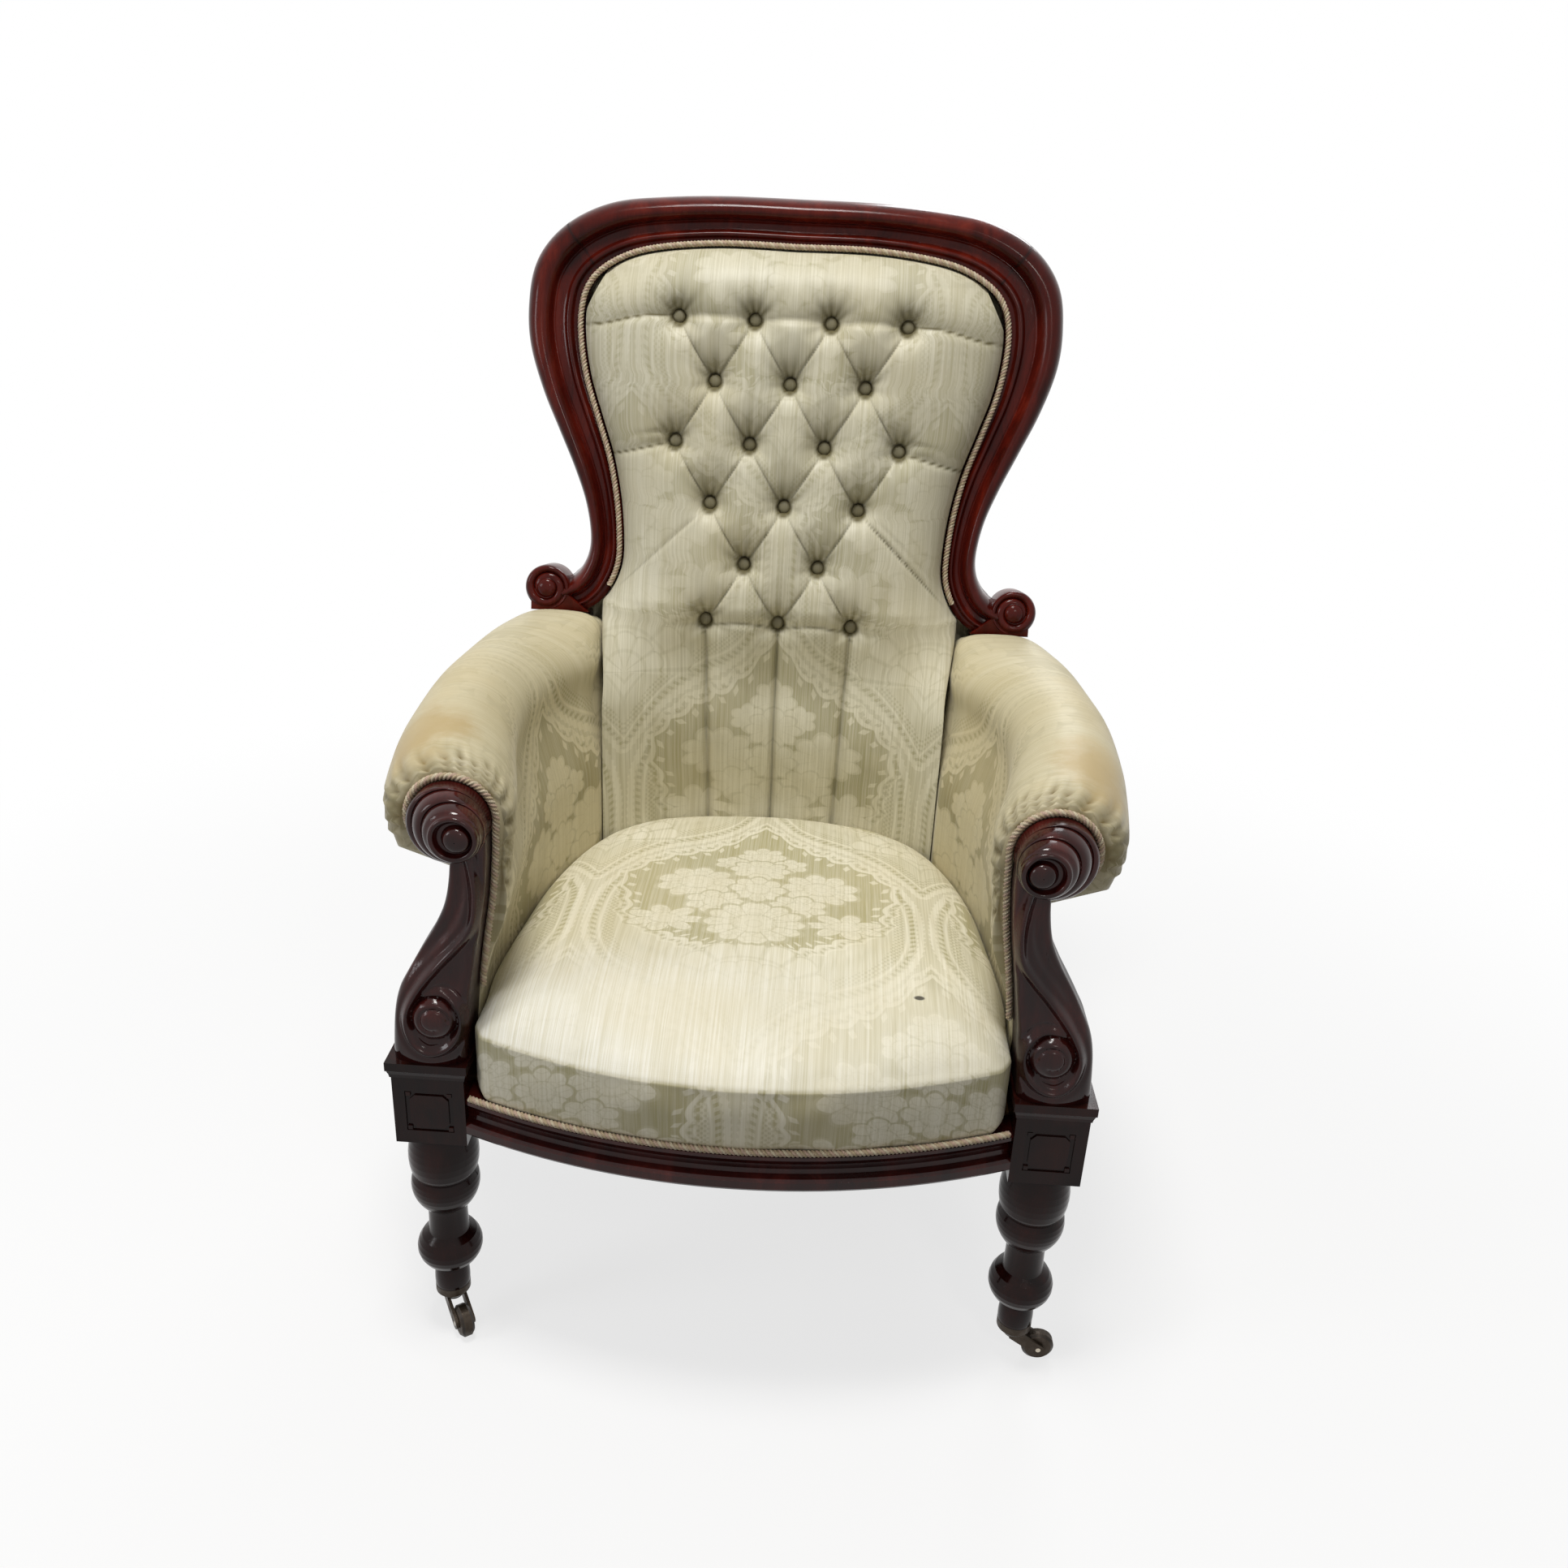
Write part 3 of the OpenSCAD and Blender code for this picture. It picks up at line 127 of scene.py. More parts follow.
def resample(points, count, closed=False):
    """The same line with its points evenly spaced"""
    p = np.asarray(points, float)
    if closed:
        p = np.vstack([p, p[:1]])
    d = arc_length(p)
    s = np.linspace(0, d[-1], count + 1 if closed else count)
    out = np.stack([np.interp(s, d, p[:, k]) for k in range(p.shape[1])], 1)
    return out[:-1] if closed else out


def soften(line, times):
    """Rounds off a line between its ends"""
    for _ in range(times):
        line[1:-1] = 0.5 * line[1:-1] + 0.25 * (line[:-2] + line[2:])


def circle(count):
    """Angles evenly round a full turn"""
    return np.linspace(0, 2 * math.pi, count, endpoint=False)


def noise2(x, y, seed, wide):
    """A soft unevenness, mostly between -1 and 1, the same in every run"""
    rng, turn = np.random.default_rng(seed), 6.283
    out = np.zeros(np.broadcast(x, y).shape)
    for k in range(9):
        a, b, p = rng.uniform(-1, 1), rng.uniform(-1, 1), rng.uniform(0, turn)
        out += np.sin((a * x + b * y) * turn / wide + p) / 9 ** 0.5
    return out * 0.8


def grid_faces(rows, cols, wrap=False, flip=False):
    """Faces between the rows and columns of a grid of points"""
    r = np.arange(rows - 1)[:, None]
    c = np.arange(cols if wrap else cols - 1)[None, :]
    k = (c + 1) % cols
    f = np.stack([r * cols + c, r * cols + k, (r + 1) * cols + k, (r + 1) * cols + c], -1).reshape(-1, 4)
    return f[:, ::-1] if flip else f


def closed_faces(rows, cols, flip=False, far_end=True):
    """Faces round a tube of rings, with a cap on its first ring and, if wanted, on its last"""
    near, far = list(range(cols)), list(range((rows - 1) * cols, rows * cols))
    caps = [near, far[::-1]] if flip else [near[::-1], far]
    return grid_faces(rows, cols, wrap=True, flip=flip).tolist() + (caps if far_end else caps[:1])


def cloth_at(u, v):
    """Coordinates of the woven pattern on a cloth"""
    return np.stack([u, v, 0 * u], -1)


def split_edges(obj, degrees):
    """Keeps the edges past an angle sharp"""
    split = obj.modifiers.new("edges", "EDGE_SPLIT")
    split.split_angle = math.radians(degrees)
    split.use_edge_sharp = False


def word(side):
    """The word for a side, as the names of pieces have it"""
    return "right" if side > 0 else "left"


def thicken(obj, thick):
    """Gives a sheet its thickness, half to each side"""
    solid = obj.modifiers.new("thickness", "SOLIDIFY")
    solid.thickness, solid.offset = thick * MM, 0


pieces = {}


def build(name, verts, faces, cloth=None, painted_shade=None, side=1, sharp=None):
    """A piece from points in millimetres, riding on the chair"""
    v = np.array(verts, float).reshape(-1, 3)
    if side < 0:
        v[:, 0] *= -1
        faces = [f[::-1] for f in faces]
    v[:, 1] -= MID_Y
    mesh = bpy.data.meshes.new(name)
    mesh.from_pydata((v * MM).tolist(), [], [list(map(int, f)) for f in faces])
    mesh.validate()
    for key, data in (("cloth", cloth), ("painted_shade", painted_shade)):
        if data is not None:
            values = np.ravel(data) if key == "cloth" else np.repeat(np.ravel(data), 3)
            mesh.attributes.new(key, "FLOAT_VECTOR", "POINT").data.foreach_set("vector", values)
    obj = bpy.data.objects.new(name, mesh)
    bpy.context.scene.collection.objects.link(obj)
    mesh.polygons.foreach_set("use_smooth", [True] * len(mesh.polygons))
    if sharp:
        split_edges(obj, sharp)
    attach(obj, "chair")
    pieces[name] = obj
    return obj


class Parts:
    """Collects several grids into one mesh"""

    def __init__(self):
        self.v, self.f, self.cloth, self.n = [], [], [], 0

    def add(self, verts, faces, cloth=None):
        v = np.asarray(verts, float).reshape(-1, 3)
        self.v.append(v)
        self.f += [[int(i) + self.n for i in f] for f in faces]
        self.cloth.append(np.zeros_like(v) if cloth is None else np.reshape(cloth, (-1, 3)))
        self.n += len(v)

    def tube(self, rings, flip=False):
        self.add(rings, closed_faces(*np.shape(rings)[:2], flip=flip))

    def verts(self):
        return np.vstack(self.v)


# Show-wood frame of the back

# Middle line of the frame's right half: across, up, and the moulding's width
BACK_CURVE_SHARE = [
    (0, 1, .77), (.309, 1, .76), (.575, .986, .8), (.749, .962, .885), (.888, .913, .955),
    (.971, .847, 1), (1, .765, .97), (.996, .674, .945), (.956, .566, .855), (.894, .46, .78),
    (.832, .356, .71), (.788, .254, .615), (.768, .156, .57), (.775, .085, .6), (.817, .024, .61),
    (.873, -.013, .6), (.938, -.03, .5)]
# Profile of the moulding: across from the outside, and depth from the front
MOULD_SHARE = [
    (0, .45), (.03, .27), (.1, .1), (.2, .01), (.31, .02), (.41, .16), (.46, .31), (.51, .31),
    (.66, .27), (.71, .19), (.77, .19), (.82, .28), (.9, .3), (1, .36)]
BACK_RISE = OVERALL_H - SCROLL_Z - BACK_CURVE_SHARE[0][2] * FRAME_W / 2
MOULD_X = (BACK_W - FRAME_W) / 2
back_curve = np.array([(a * MOULD_X, SCROLL_Z + b * BACK_RISE, c * FRAME_W)
                       for a, b, c in BACK_CURVE_SHARE])
CREST_JOINT = 0.25


def face_y(z):
    """The raked plane that the back frame is built on, FRONT_T behind its front"""
    return BACK_Y + LEAN * (z - SCROLL_Z)


def mould_at(u, share):
    """Front view of the frame: u runs from the crest's middle to the scroll, share from the outside in"""
    u = np.atleast_1d(np.asarray(u, float))
    step = 0.002
    m = along(back_curve, u)
    d = along(back_curve, u + step) - along(back_curve, np.maximum(u - step, 0))
    t = d[:, :2] / np.linalg.norm(d[:, :2], axis=1)[:, None]
    x = m[:, 0] - t[:, 1] * m[:, 2] * (0.5 - share)
    return np.stack([x, m[:, 1] + t[:, 0] * m[:, 2] * (0.5 - share)], 1)


def mould_rings(us):
    """Rings of the carved moulding, with rounded rolls between crisp steps"""
    fine = along(MOULD_SHARE, np.linspace(0, 1, 53))
    back = [(1.0, 0.52), (1.0, 0.97), (0.985, 1.0), (0.5, 1.0), (0.015, 1.0), (0.0, 0.97), (0, 0.62)]
    shape = np.vstack([fine, back])
    rings = []
    for share, depth in shape:
        q = mould_at(np.abs(us), share)
        y = face_y(q[:, 1]) + (depth - FRONT_SHARE) * FRAME_T
        rings.append(np.stack([np.sign(us + 1e-9) * q[:, 0], y, q[:, 1]], 1))
    return np.stack(rings, 1)


def on_back(x, up, out):
    """Places on the raked back, by how far they lie up and out from the scroll's centre"""
    x, up, out = np.broadcast_arrays(np.asarray(x, float), up, out)
    return np.stack([x, BACK_Y + up * math.sin(RAKE) - out * math.cos(RAKE),
                     SCROLL_Z + up * math.cos(RAKE) + out * math.sin(RAKE)], -1)


def make_crest():
    p = Parts()
    p.tube(mould_rings(np.linspace(-CREST_JOINT, CREST_JOINT, 150)), flip=True)
    o = build("crest_rail_carved", p.verts(), p.f, sharp=CARVED_SHARP)
    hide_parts("crest_rail")


def spiral_disc(r, turns, base, relief, eye, eye_rise):
    """A carved volute: place and height over its disc, the groove winding in to the eye"""
    rr = r * (1 - np.linspace(0, 1, 44)[:, None] ** 0.9)
    th = circle(72)
    t = (1 - rr / r) / (1 - eye)
    phase = t * turns + th / (2 * math.pi)
    ridge = np.abs(np.sin(math.pi * phase)) ** 0.6
    h = base + relief * ridge - relief * 0.9
    rim = np.clip(1 - (rr / r) ** 14, 0, 1)
    h = base - relief * 1.4 + (h - base + relief * 1.4) * rim ** 0.5
    dome = eye_rise * np.sqrt(np.clip(1 - (rr / (r * eye)) ** 2, 0, 1))
    h = np.where(rr < r * eye, base - relief * 0.2 + dome, h)
    return rr * np.cos(th), rr * np.sin(th), h + 0 * th


def make_stile(side):
    p = Parts()
    p.tube(mould_rings(np.linspace(CREST_JOINT, 1, 230)), flip=True)
    x, up, h = spiral_disc(SCROLL_R, turns=1.35, base=FRONT_T, relief=4.2, eye=0.42, eye_rise=6.0)
    front = on_back(SCROLL_X + x, up, h)
    rear = on_back(SCROLL_X + x[:1], up[:1], -REAR_T + 1.0)
    n, m = x.shape
    p.add(np.vstack([rear, front]), closed_faces(n + 1, m, far_end=False))
    # The foot under the scroll stands on the rear leg
    foot_right = SCROLL_X + 0.75 * SCROLL_R
    foot = np.array([(REAR_X - LEG_WIDE / 2, -FOOT_DROP), (foot_right, -FOOT_DROP),
                     (foot_right, -2), (SCROLL_X - SCROLL_R * 0.8, -2)])
    inwards = np.sign(foot.mean(0) - foot) * np.stack([np.ones(4), foot[:, 1] < -5], 1)
    rings = []
    for out, inset in ((-REAR_T + 1, 0), (FRONT_T - 6, 0), (FRONT_T - 3.5, 0.8), (FRONT_T - 2.5, 3)):
        q = foot + inwards * inset
        rings.append(on_back(q[:, 0], q[:, 1], out))
    p.tube(rings)
    o = build("stile_carved_" + word(side), p.verts(), p.f, side=side, sharp=CARVED_SHARP)
    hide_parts("back_stile_" + word(side))


# Arm supports

# Outline of a carved post: height, its inner and outer side, and its front
SUPPORT_SHARE = [
    (0, -1.06, .93, -1.06), (.07, -1.1, .91, -1.09), (.22, -1.2, .81, -1.07), (.32, -1.26, .65, -1),
    (.4, -1.33, .38, -.9), (.48, -1.41, .08, -.79), (.57, -1.51, -.27, -.69), (.67, -1.62, -.58, -.59),
    (.78, -1.7, -.73, -.5), (.9, -1.76, -.78, -.46), (1, -1.76, -.72, -.46)]
ROUND_FRONT = 7.0
ARM_SCROLL_X, ARM_EYE_X = LEG_X - HALF_BLOCK * 0.74, LEG_X - HALF_BLOCK * 1.17
ARM_EYE_Y, EYE_R, EYE_RISE = -HALF_BLOCK * 1.2, ARM_SCROLL_R * 0.6, ARM_SCROLL_R * 0.1
BOSS_X, BOSS_Z = LEG_X - HALF_BLOCK * 0.31, SUPPORT_Z + BOSS_R * 2.36
VOLUTE_TURNS, VOLUTE_DEEP = 2.25, 5.5
# The volute's eye and stud: share of the eye's radius, and how far back the surface lies
EYE_PROFILE = [
    (1, 0), (.975, -1.6), (.93, -2.6), (.86, -2.8), (.79, -2.0), (.74, .2), (.7, 2.6), (.64, 3.2),
    (.58, 2.6), (.555, .5), (.54, -1.5), (.5, -3.3), (.42, -4.9), (.3, -6.0), (.16, -6.5), (.02, -6.6)]
# Front view of the carving on the right support: the bead that winds down round the boss, and its valley
BEAD = [(240, 538), (235.5, 515), (234, 492), (237.5, 470), (251.8, 450.1), (267, 433.5), (282.7, 413.7),
        (293.8, 393.2), (297.2, 373.8), (290.4, 355), (276.4, 347), (259, 354), (248.3, 373.3),
        (251.1, 394.8), (264.2, 407), (277, 405)]
VALLEY = [(250, 540), (246, 515), (247.5, 495), (252, 480), (260, 465.6), (273, 450), (286, 430),
          (297, 408)]


# Depth and width of each form of that carving
EDGE_DEEP, EDGE_WIDE = 6.5, 8.5
VALLEY_DEEP, VALLEY_WIDE = 5.5, 6.0
BEAD_HIGH, BEAD_WIDE = 4.4, 3.4
GROOVE_DEEP, GROOVE_OFF, GROOVE_WIDE = 1.6, 6.2, 2.4
FIELD_DEEP, FIELD_X, FIELD_WIDE, FIELD_Z, FIELD_TALL = 6.0, 252, 11, 424, 21
BOSS_DOME, BOSS_BACK, CURL_DEEP = 9.5, 2.5, 2.2


def off_line(x, z, line):
    """Distance of each place from a line of points, and how far along the line it is"""
    p = resample(along(line, np.linspace(0, 1, 120)), 160)
    d = np.hypot(x[..., None] - p[:, 0], z[..., None] - p[:, 1])
    return d.min(-1), d.argmin(-1) / 159


def carving(x, z, inner, outer):
    """How far the carved front stands forward"""
    near = np.minimum(x - inner, outer - x)
    h = -EDGE_DEEP * (1 - np.sqrt(1 - (1 - np.clip(near / EDGE_WIDE, 0, 1)) ** 2))
    bead, along_bead = off_line(x, z, BEAD)
    valley, along_valley = off_line(x, z, VALLEY)
    h = h - VALLEY_DEEP * fade(valley, VALLEY_WIDE) * ease((1 - along_valley) / 0.25)
    leaning = x - FIELD_X + 0.25 * (z - FIELD_Z - 1)
    h = h - FIELD_DEEP * fade(leaning / FIELD_WIDE, 1) * fade((z - FIELD_Z) / FIELD_TALL, 1)
    h = h + BEAD_HIGH * fade(bead, BEAD_WIDE) * ease((1 - along_bead) / 0.1)
    h = h - GROOVE_DEEP * fade(bead - GROOVE_OFF, GROOVE_WIDE)
    r = np.hypot(x - BOSS_X, z - BOSS_Z) / BOSS_R
    turn = np.arctan2(z - BOSS_Z, x - BOSS_X)
    dome = BOSS_DOME * np.sqrt(np.clip(1 - r ** 2, 0, 1))
    curl = 0.55 + 0.13 * (turn - 0.6) / math.pi
    dome = dome - CURL_DEEP * fade(r - curl, 0.07) * ease((turn + 2.4) / 0.8)
    on_boss = h * (1 - ease((1 - r) * 4)) + dome - BOSS_BACK
    return np.where(r < 1, on_boss, h - BOSS_BACK * fade(r - 1.02, 0.07))


def make_support(side):
    p = Parts()
    # The carved post, a ring of points at each height
    across = np.linspace(0, 1, 84)
    rows = np.linspace(0, 1, 190)
    edges = along(SUPPORT_SHARE, rows)
    x0, x1 = LEG_X + edges[:, 1:2] * HALF_BLOCK, LEG_X + edges[:, 2:3] * HALF_BLOCK
    z = mix(SUPPORT_Z, SUPPORT_TOP, edges[:, :1]) + 0 * across
    x = mix(x0, x1, across)
    rounded = ROUND_FRONT * (1 - rows[:, None]) * (2 * across - 1) ** 2
    y = edges[:, 3:4] * HALF_BLOCK + rounded - carving(x, z, x0, x1)
    y = np.maximum(y, -HALF_BLOCK * 1.3)
    rings = np.stack([x, y, z], -1)
    rear = [np.concatenate([q, np.full_like(q, ARM_FRONT), z[:, :1]], 1)[:, None] for q in (x1, x0)]
    p.tube(np.concatenate([rings] + rear, 1), flip=True)
    # Volute on top: its turns step forward and in to a round eye with a stud
    n, m = 80, 110
    t = np.linspace(0, 1, n)[:, None]
    th = circle(m)
    cx, cz = mix(ARM_SCROLL_X, ARM_EYE_X, t), SUPPORT_TOP + t * EYE_RISE
    rr = mix(ARM_SCROLL_R, EYE_R, t ** 1.05)
    phase = VOLUTE_TURNS * t + th / (2 * math.pi) + 0.45
    ridge = np.abs(np.sin(math.pi * phase)) ** 0.6
    step = VOLUTE_DEEP * (ridge - 0.75) * np.minimum(1, 6 * (1 - t)) * np.minimum(1, 9 * t + 0.2)
    y = mix(-HALF_BLOCK * 0.2, ARM_EYE_Y, t) - step
    rr = rr + 0.8 * (ridge - 0.6) * np.minimum(1, 6 * t) * np.minimum(1, 6 * (1 - t))
    rim = np.stack([ARM_SCROLL_X + ARM_SCROLL_R * np.cos(th), np.full(m, ARM_FRONT),
                    SUPPORT_TOP + ARM_SCROLL_R * np.sin(th)], 1)
    body = np.stack([cx + rr * np.cos(th), y, cz + rr * np.sin(th)], -1)
    eye = []
    for r, out in along(EYE_PROFILE, np.linspace(0, 1, 46))[1:]:
        shift = -3.2 * ease((0.8 - r) / 0.3)
        eye.append(np.stack([ARM_EYE_X + shift + EYE_R * r * np.cos(th), np.full(m, ARM_EYE_Y + out),
                             SUPPORT_TOP + EYE_RISE + EYE_R * r * np.sin(th)], 1))
    rows = np.vstack([rim[None], body, np.stack(eye)])
    p.add(rows, closed_faces(len(rows), m, far_end=False))
    o = build("arm_support_carved_" + word(side), p.verts(), p.f, side=side,
              sharp=SUPPORT_SHARP)
    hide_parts("arm_support_" + word(side))


# Seat

# The seat's right side and rear, seen from above
SEAT_SIDE_SHARE = [
    (.978, -.04), (.978, .06), (.988, .14), (.982, .24), (.958, .39), (.925, .55), (.862, .7),
    (.764, .83), (.65, .91), (.508, .961), (.325, .986), (.163, .998), (0, 1)]
# Rings of the seat: size, height of the border, crown, and bulge of the front border
SEAT_RING_SHARE = [
    (.985, 0, 0, 0), (1, .12, 0, .35), (1, .45, 0, 1), (1, .72, 0, 1), (.998, .79, 0, .95),
    (.984, .845, 0, .74), (.952, .92, .05, .32), (.895, .975, .2, .05), (.8, 1, .48, 0), (.64, 1, .76, 0),
    (.45, 1, .92, 0), (.24, 1, .98, 0), (.04, 1, 1, 0)]
SEAT_BULGE = 10.0


def bow_front(x):
    """The bowed front of the seat rail, seen from above"""
    return BOW_Y - np.sqrt(BOW_R ** 2 - np.asarray(x, float) ** 2)


seat_side = along(SEAT_SIDE_SHARE, np.linspace(0, 1, 90)) * [SEAT_HALF, SEAT_D]
front_xs = np.linspace(0, 0.94, 40) * SEAT_HALF
seat_right = np.vstack([np.stack([front_xs, bow_front(front_xs) + 2 * GIMP_R], 1), seat_side])
seat_plan = np.vstack([seat_right, (seat_right[1:-1] * [-1, 1])[::-1]])
seat_plan = resample(seat_plan, 300, closed=True)
SEAT_MID = np.array([0, SEAT_D * 0.42])
seat_x_table = seat_side[:, ::-1]
seat_y_table = seat_side


def make_seat():
    shares = along(SEAT_RING_SHARE, np.linspace(0, 1, 108))
    share = np.clip(seat_plan[:, 0] / SEAT_HALF, -1, 1)
    front = np.where(seat_plan[:, 1] < 0, np.cos(math.pi / 2 * share), 0)
    rings = []
    for s in shares:
        q = SEAT_MID + s[0] * (seat_plan - SEAT_MID)
        z = mix(RAIL_TOP, SEAT_H, s[1]) + s[2] * CROWN + 0 * q[:, 0]
        top = ease((s[1] - 0.84) / 0.16)
        z = z + top * (1.3 * noise2(q[:, 0], q[:, 1], 5, 150) + 0.5 * noise2(q[:, 0], q[:, 1], 8, 45))
        y = q[:, 1] - s[3] * SEAT_BULGE * front
        # The border of the front is a little uneven where the stuffing was regulated
        y = y + (1 - top) * front * 0.9 * noise2(q[:, 0], z, 12, 60)
        rings.append(np.stack([q[:, 0], y, z], 1))
    rings = np.array(rings)
    rings[0, :, 2] = RAIL_TOP + 0.2
    # Cloth coordinates: flat on top, and run on down the front
    step = np.linalg.norm(np.diff(rings, axis=0), axis=2)
    edge = int(np.argmax(shares[:, 1] > 0.83))
    drop = np.zeros(rings.shape[:2])
    drop[:edge] = np.cumsum(step[:edge][::-1], axis=0)[::-1]
    flat = rings[..., 1] * (drop == 0) + (drop > 0) * (rings[edge, :, 1][None] - drop)
    n, m = rings.shape[:2]
    faces, last = closed_faces(n, m, far_end=False), n * m
    faces += [[last - m + j, last - m + (j + 1) % m, last] for j in range(m)]
    verts = np.vstack([rings.reshape(-1, 3), [[*SEAT_MID, rings[-1, :, 2].mean()]]])
    cloth = np.vstack([cloth_at(rings[..., 0], flat).reshape(-1, 3), [[*SEAT_MID, 0]]])
    o = build("seat_cover", verts, faces, cloth=cloth * MM)
    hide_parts("seat_cushion")


# Buttoned back

inner_line = mould_at(np.linspace(0.9, 0.15, 200), 1)
inner_table = inner_line[:, ::-1]
top_line = mould_at(np.linspace(0, 0.23, 120), 1)
corner = top_line[-1]
# Heights between which the pad's side runs from the width behind the seat to the frame's inner edge
SEAM_TO, SEAM_FROM = SCROLL_Z - 0.56 * SCROLL_R, SCROLL_Z - 4 * SCROLL_R
# Height from which the pad turns from the seat's rear towards the frame's plane
WRAP_FROM = SCROLL_Z - 4.8 * SCROLL_R
# Swell of the pad between the seat and the lowest buttons
LOW_PUFF = 16
TUFT_ROWS = 5
# Above this many rows of buttons the roll along the top begins
TOP_ROLL = 4.2
# Width over which a line of painted shade along a fold fades out
CREASE_SHADE_WIDE = 1.1
BUTTONS = [(0, 0), (2, 0), (1, 1), (0, 2), (2, 2), (1, 3), (3, 3), (0, 4), (2, 4), (1, 5), (3, 5)]
TUFT_EDGE = [(0, 2), (1, 1), (2, 2), (3, 3), (4, 2), (5, 3)]


def pad_edge(z):
    """Half width of the back's upholstery"""
    z = np.asarray(z, float)
    inner = interp(z, inner_table) - SOFT_GAP
    at = interp(SEAM_TO, inner_table) - SOFT_GAP
    return np.where(z > SEAM_TO, inner, mix(BACK_HALF, at, ease((z - SEAM_FROM) / (SEAM_TO - SEAM_FROM))))


def top_limit(x):
    """Top of the back's upholstery, under the crest"""
    return np.interp(x, top_line[:, 0], top_line[:, 1]) - SOFT_GAP


def fold_under(d, deep, above, below):
    """A fold seen from the front: the cloth rolls in above the line and starts again crisply below it"""
    return deep * np.where(d > 0, np.exp(-np.abs(d) / above), np.exp(-np.abs(d) / below))


def side_folds(x, a, b):
    """The long fold from the button at each end of the fourth row down to the foot of the frame, and a line
    of painted shade along it
    """
    path = 2 + 2.5 * (np.clip(2 - b, 0, 1.7) / 1.55) ** 0.92
    reach = ease((2.0 - b) / 0.25) * ease((b - 0.35) / 0.45)
    fold = np.exp(-np.abs(a - path) * HALF_DX / 3.2) * reach * np.where(x > 0, 4.6, 2.2)
    fold = fold + 1.5 * fade((a - path - 0.3) * HALF_DX, 3.0) * reach * (x > 0)
    return fold, fade((a - path) * HALF_DX, CREASE_SHADE_WIDE) * reach * np.where(x > 0, 1, 0.4)


def channels(a, b):
    """The hollows between the upright rolls under the lowest buttons"""
    across = a * HALF_DX
    depth = np.clip(-b * BUTTON_DZ / 26, 0, 1)
    lean = 0.04 * np.clip(-b, 0, 4)
    slot = np.maximum(np.exp(-across / 2.4), np.exp(-np.abs(across - (2 - lean) * HALF_DX) / 2.4))
    round_off = np.maximum(fade(across, 21), fade(across - 2 * HALF_DX, 21))
    return ease((0.1 - b) / 0.14) * (9.0 * slot + 7.5 * round_off) * mix(0.75, 1, depth)


def button_pulls(x, b):
    """Dips, gathers and painted shade round the buttons, at x millimetres across and b rows up"""
    dips, gather, shade = np.zeros_like(x), np.zeros_like(x), np.zeros_like(x)
    for i, j in BUTTONS:
        for flip in (1, -1):
            dx, dz = x - flip * i * HALF_DX, (b - j) * BUTTON_DZ
            tall = 17.0 if j < TUFT_ROWS else 14.0
            far = np.hypot(dx / 11.5, dz / np.where(dz > 0, tall, 8.0))
            dips = np.maximum(dips, np.exp(-np.maximum(far - 0.42, 0) ** 0.9 * 1.35))
            d, ang = np.hypot(dx, dz), np.arctan2(dx, dz)
            gather = np.maximum(gather, fade(d - 15, 9) * (0.5 + 0.5 * np.cos(9 * ang + i + 2 * j)))
            # Painted shade fans out above the button, and rings its foot
            strokes = 0.72 + 0.28 * np.cos(13 * ang + 2.3 * i * flip + j)
            fan = np.exp(-np.maximum(d - 9, 0) / 19) * ease((np.cos(ang) - 0.3) / 0.55) * strokes
            shade = np.maximum(shade, np.maximum(0.88 * fan, 0.9 * fade(np.maximum(d - 7.4, 0), 2.2)))
    return dips, gather, shade


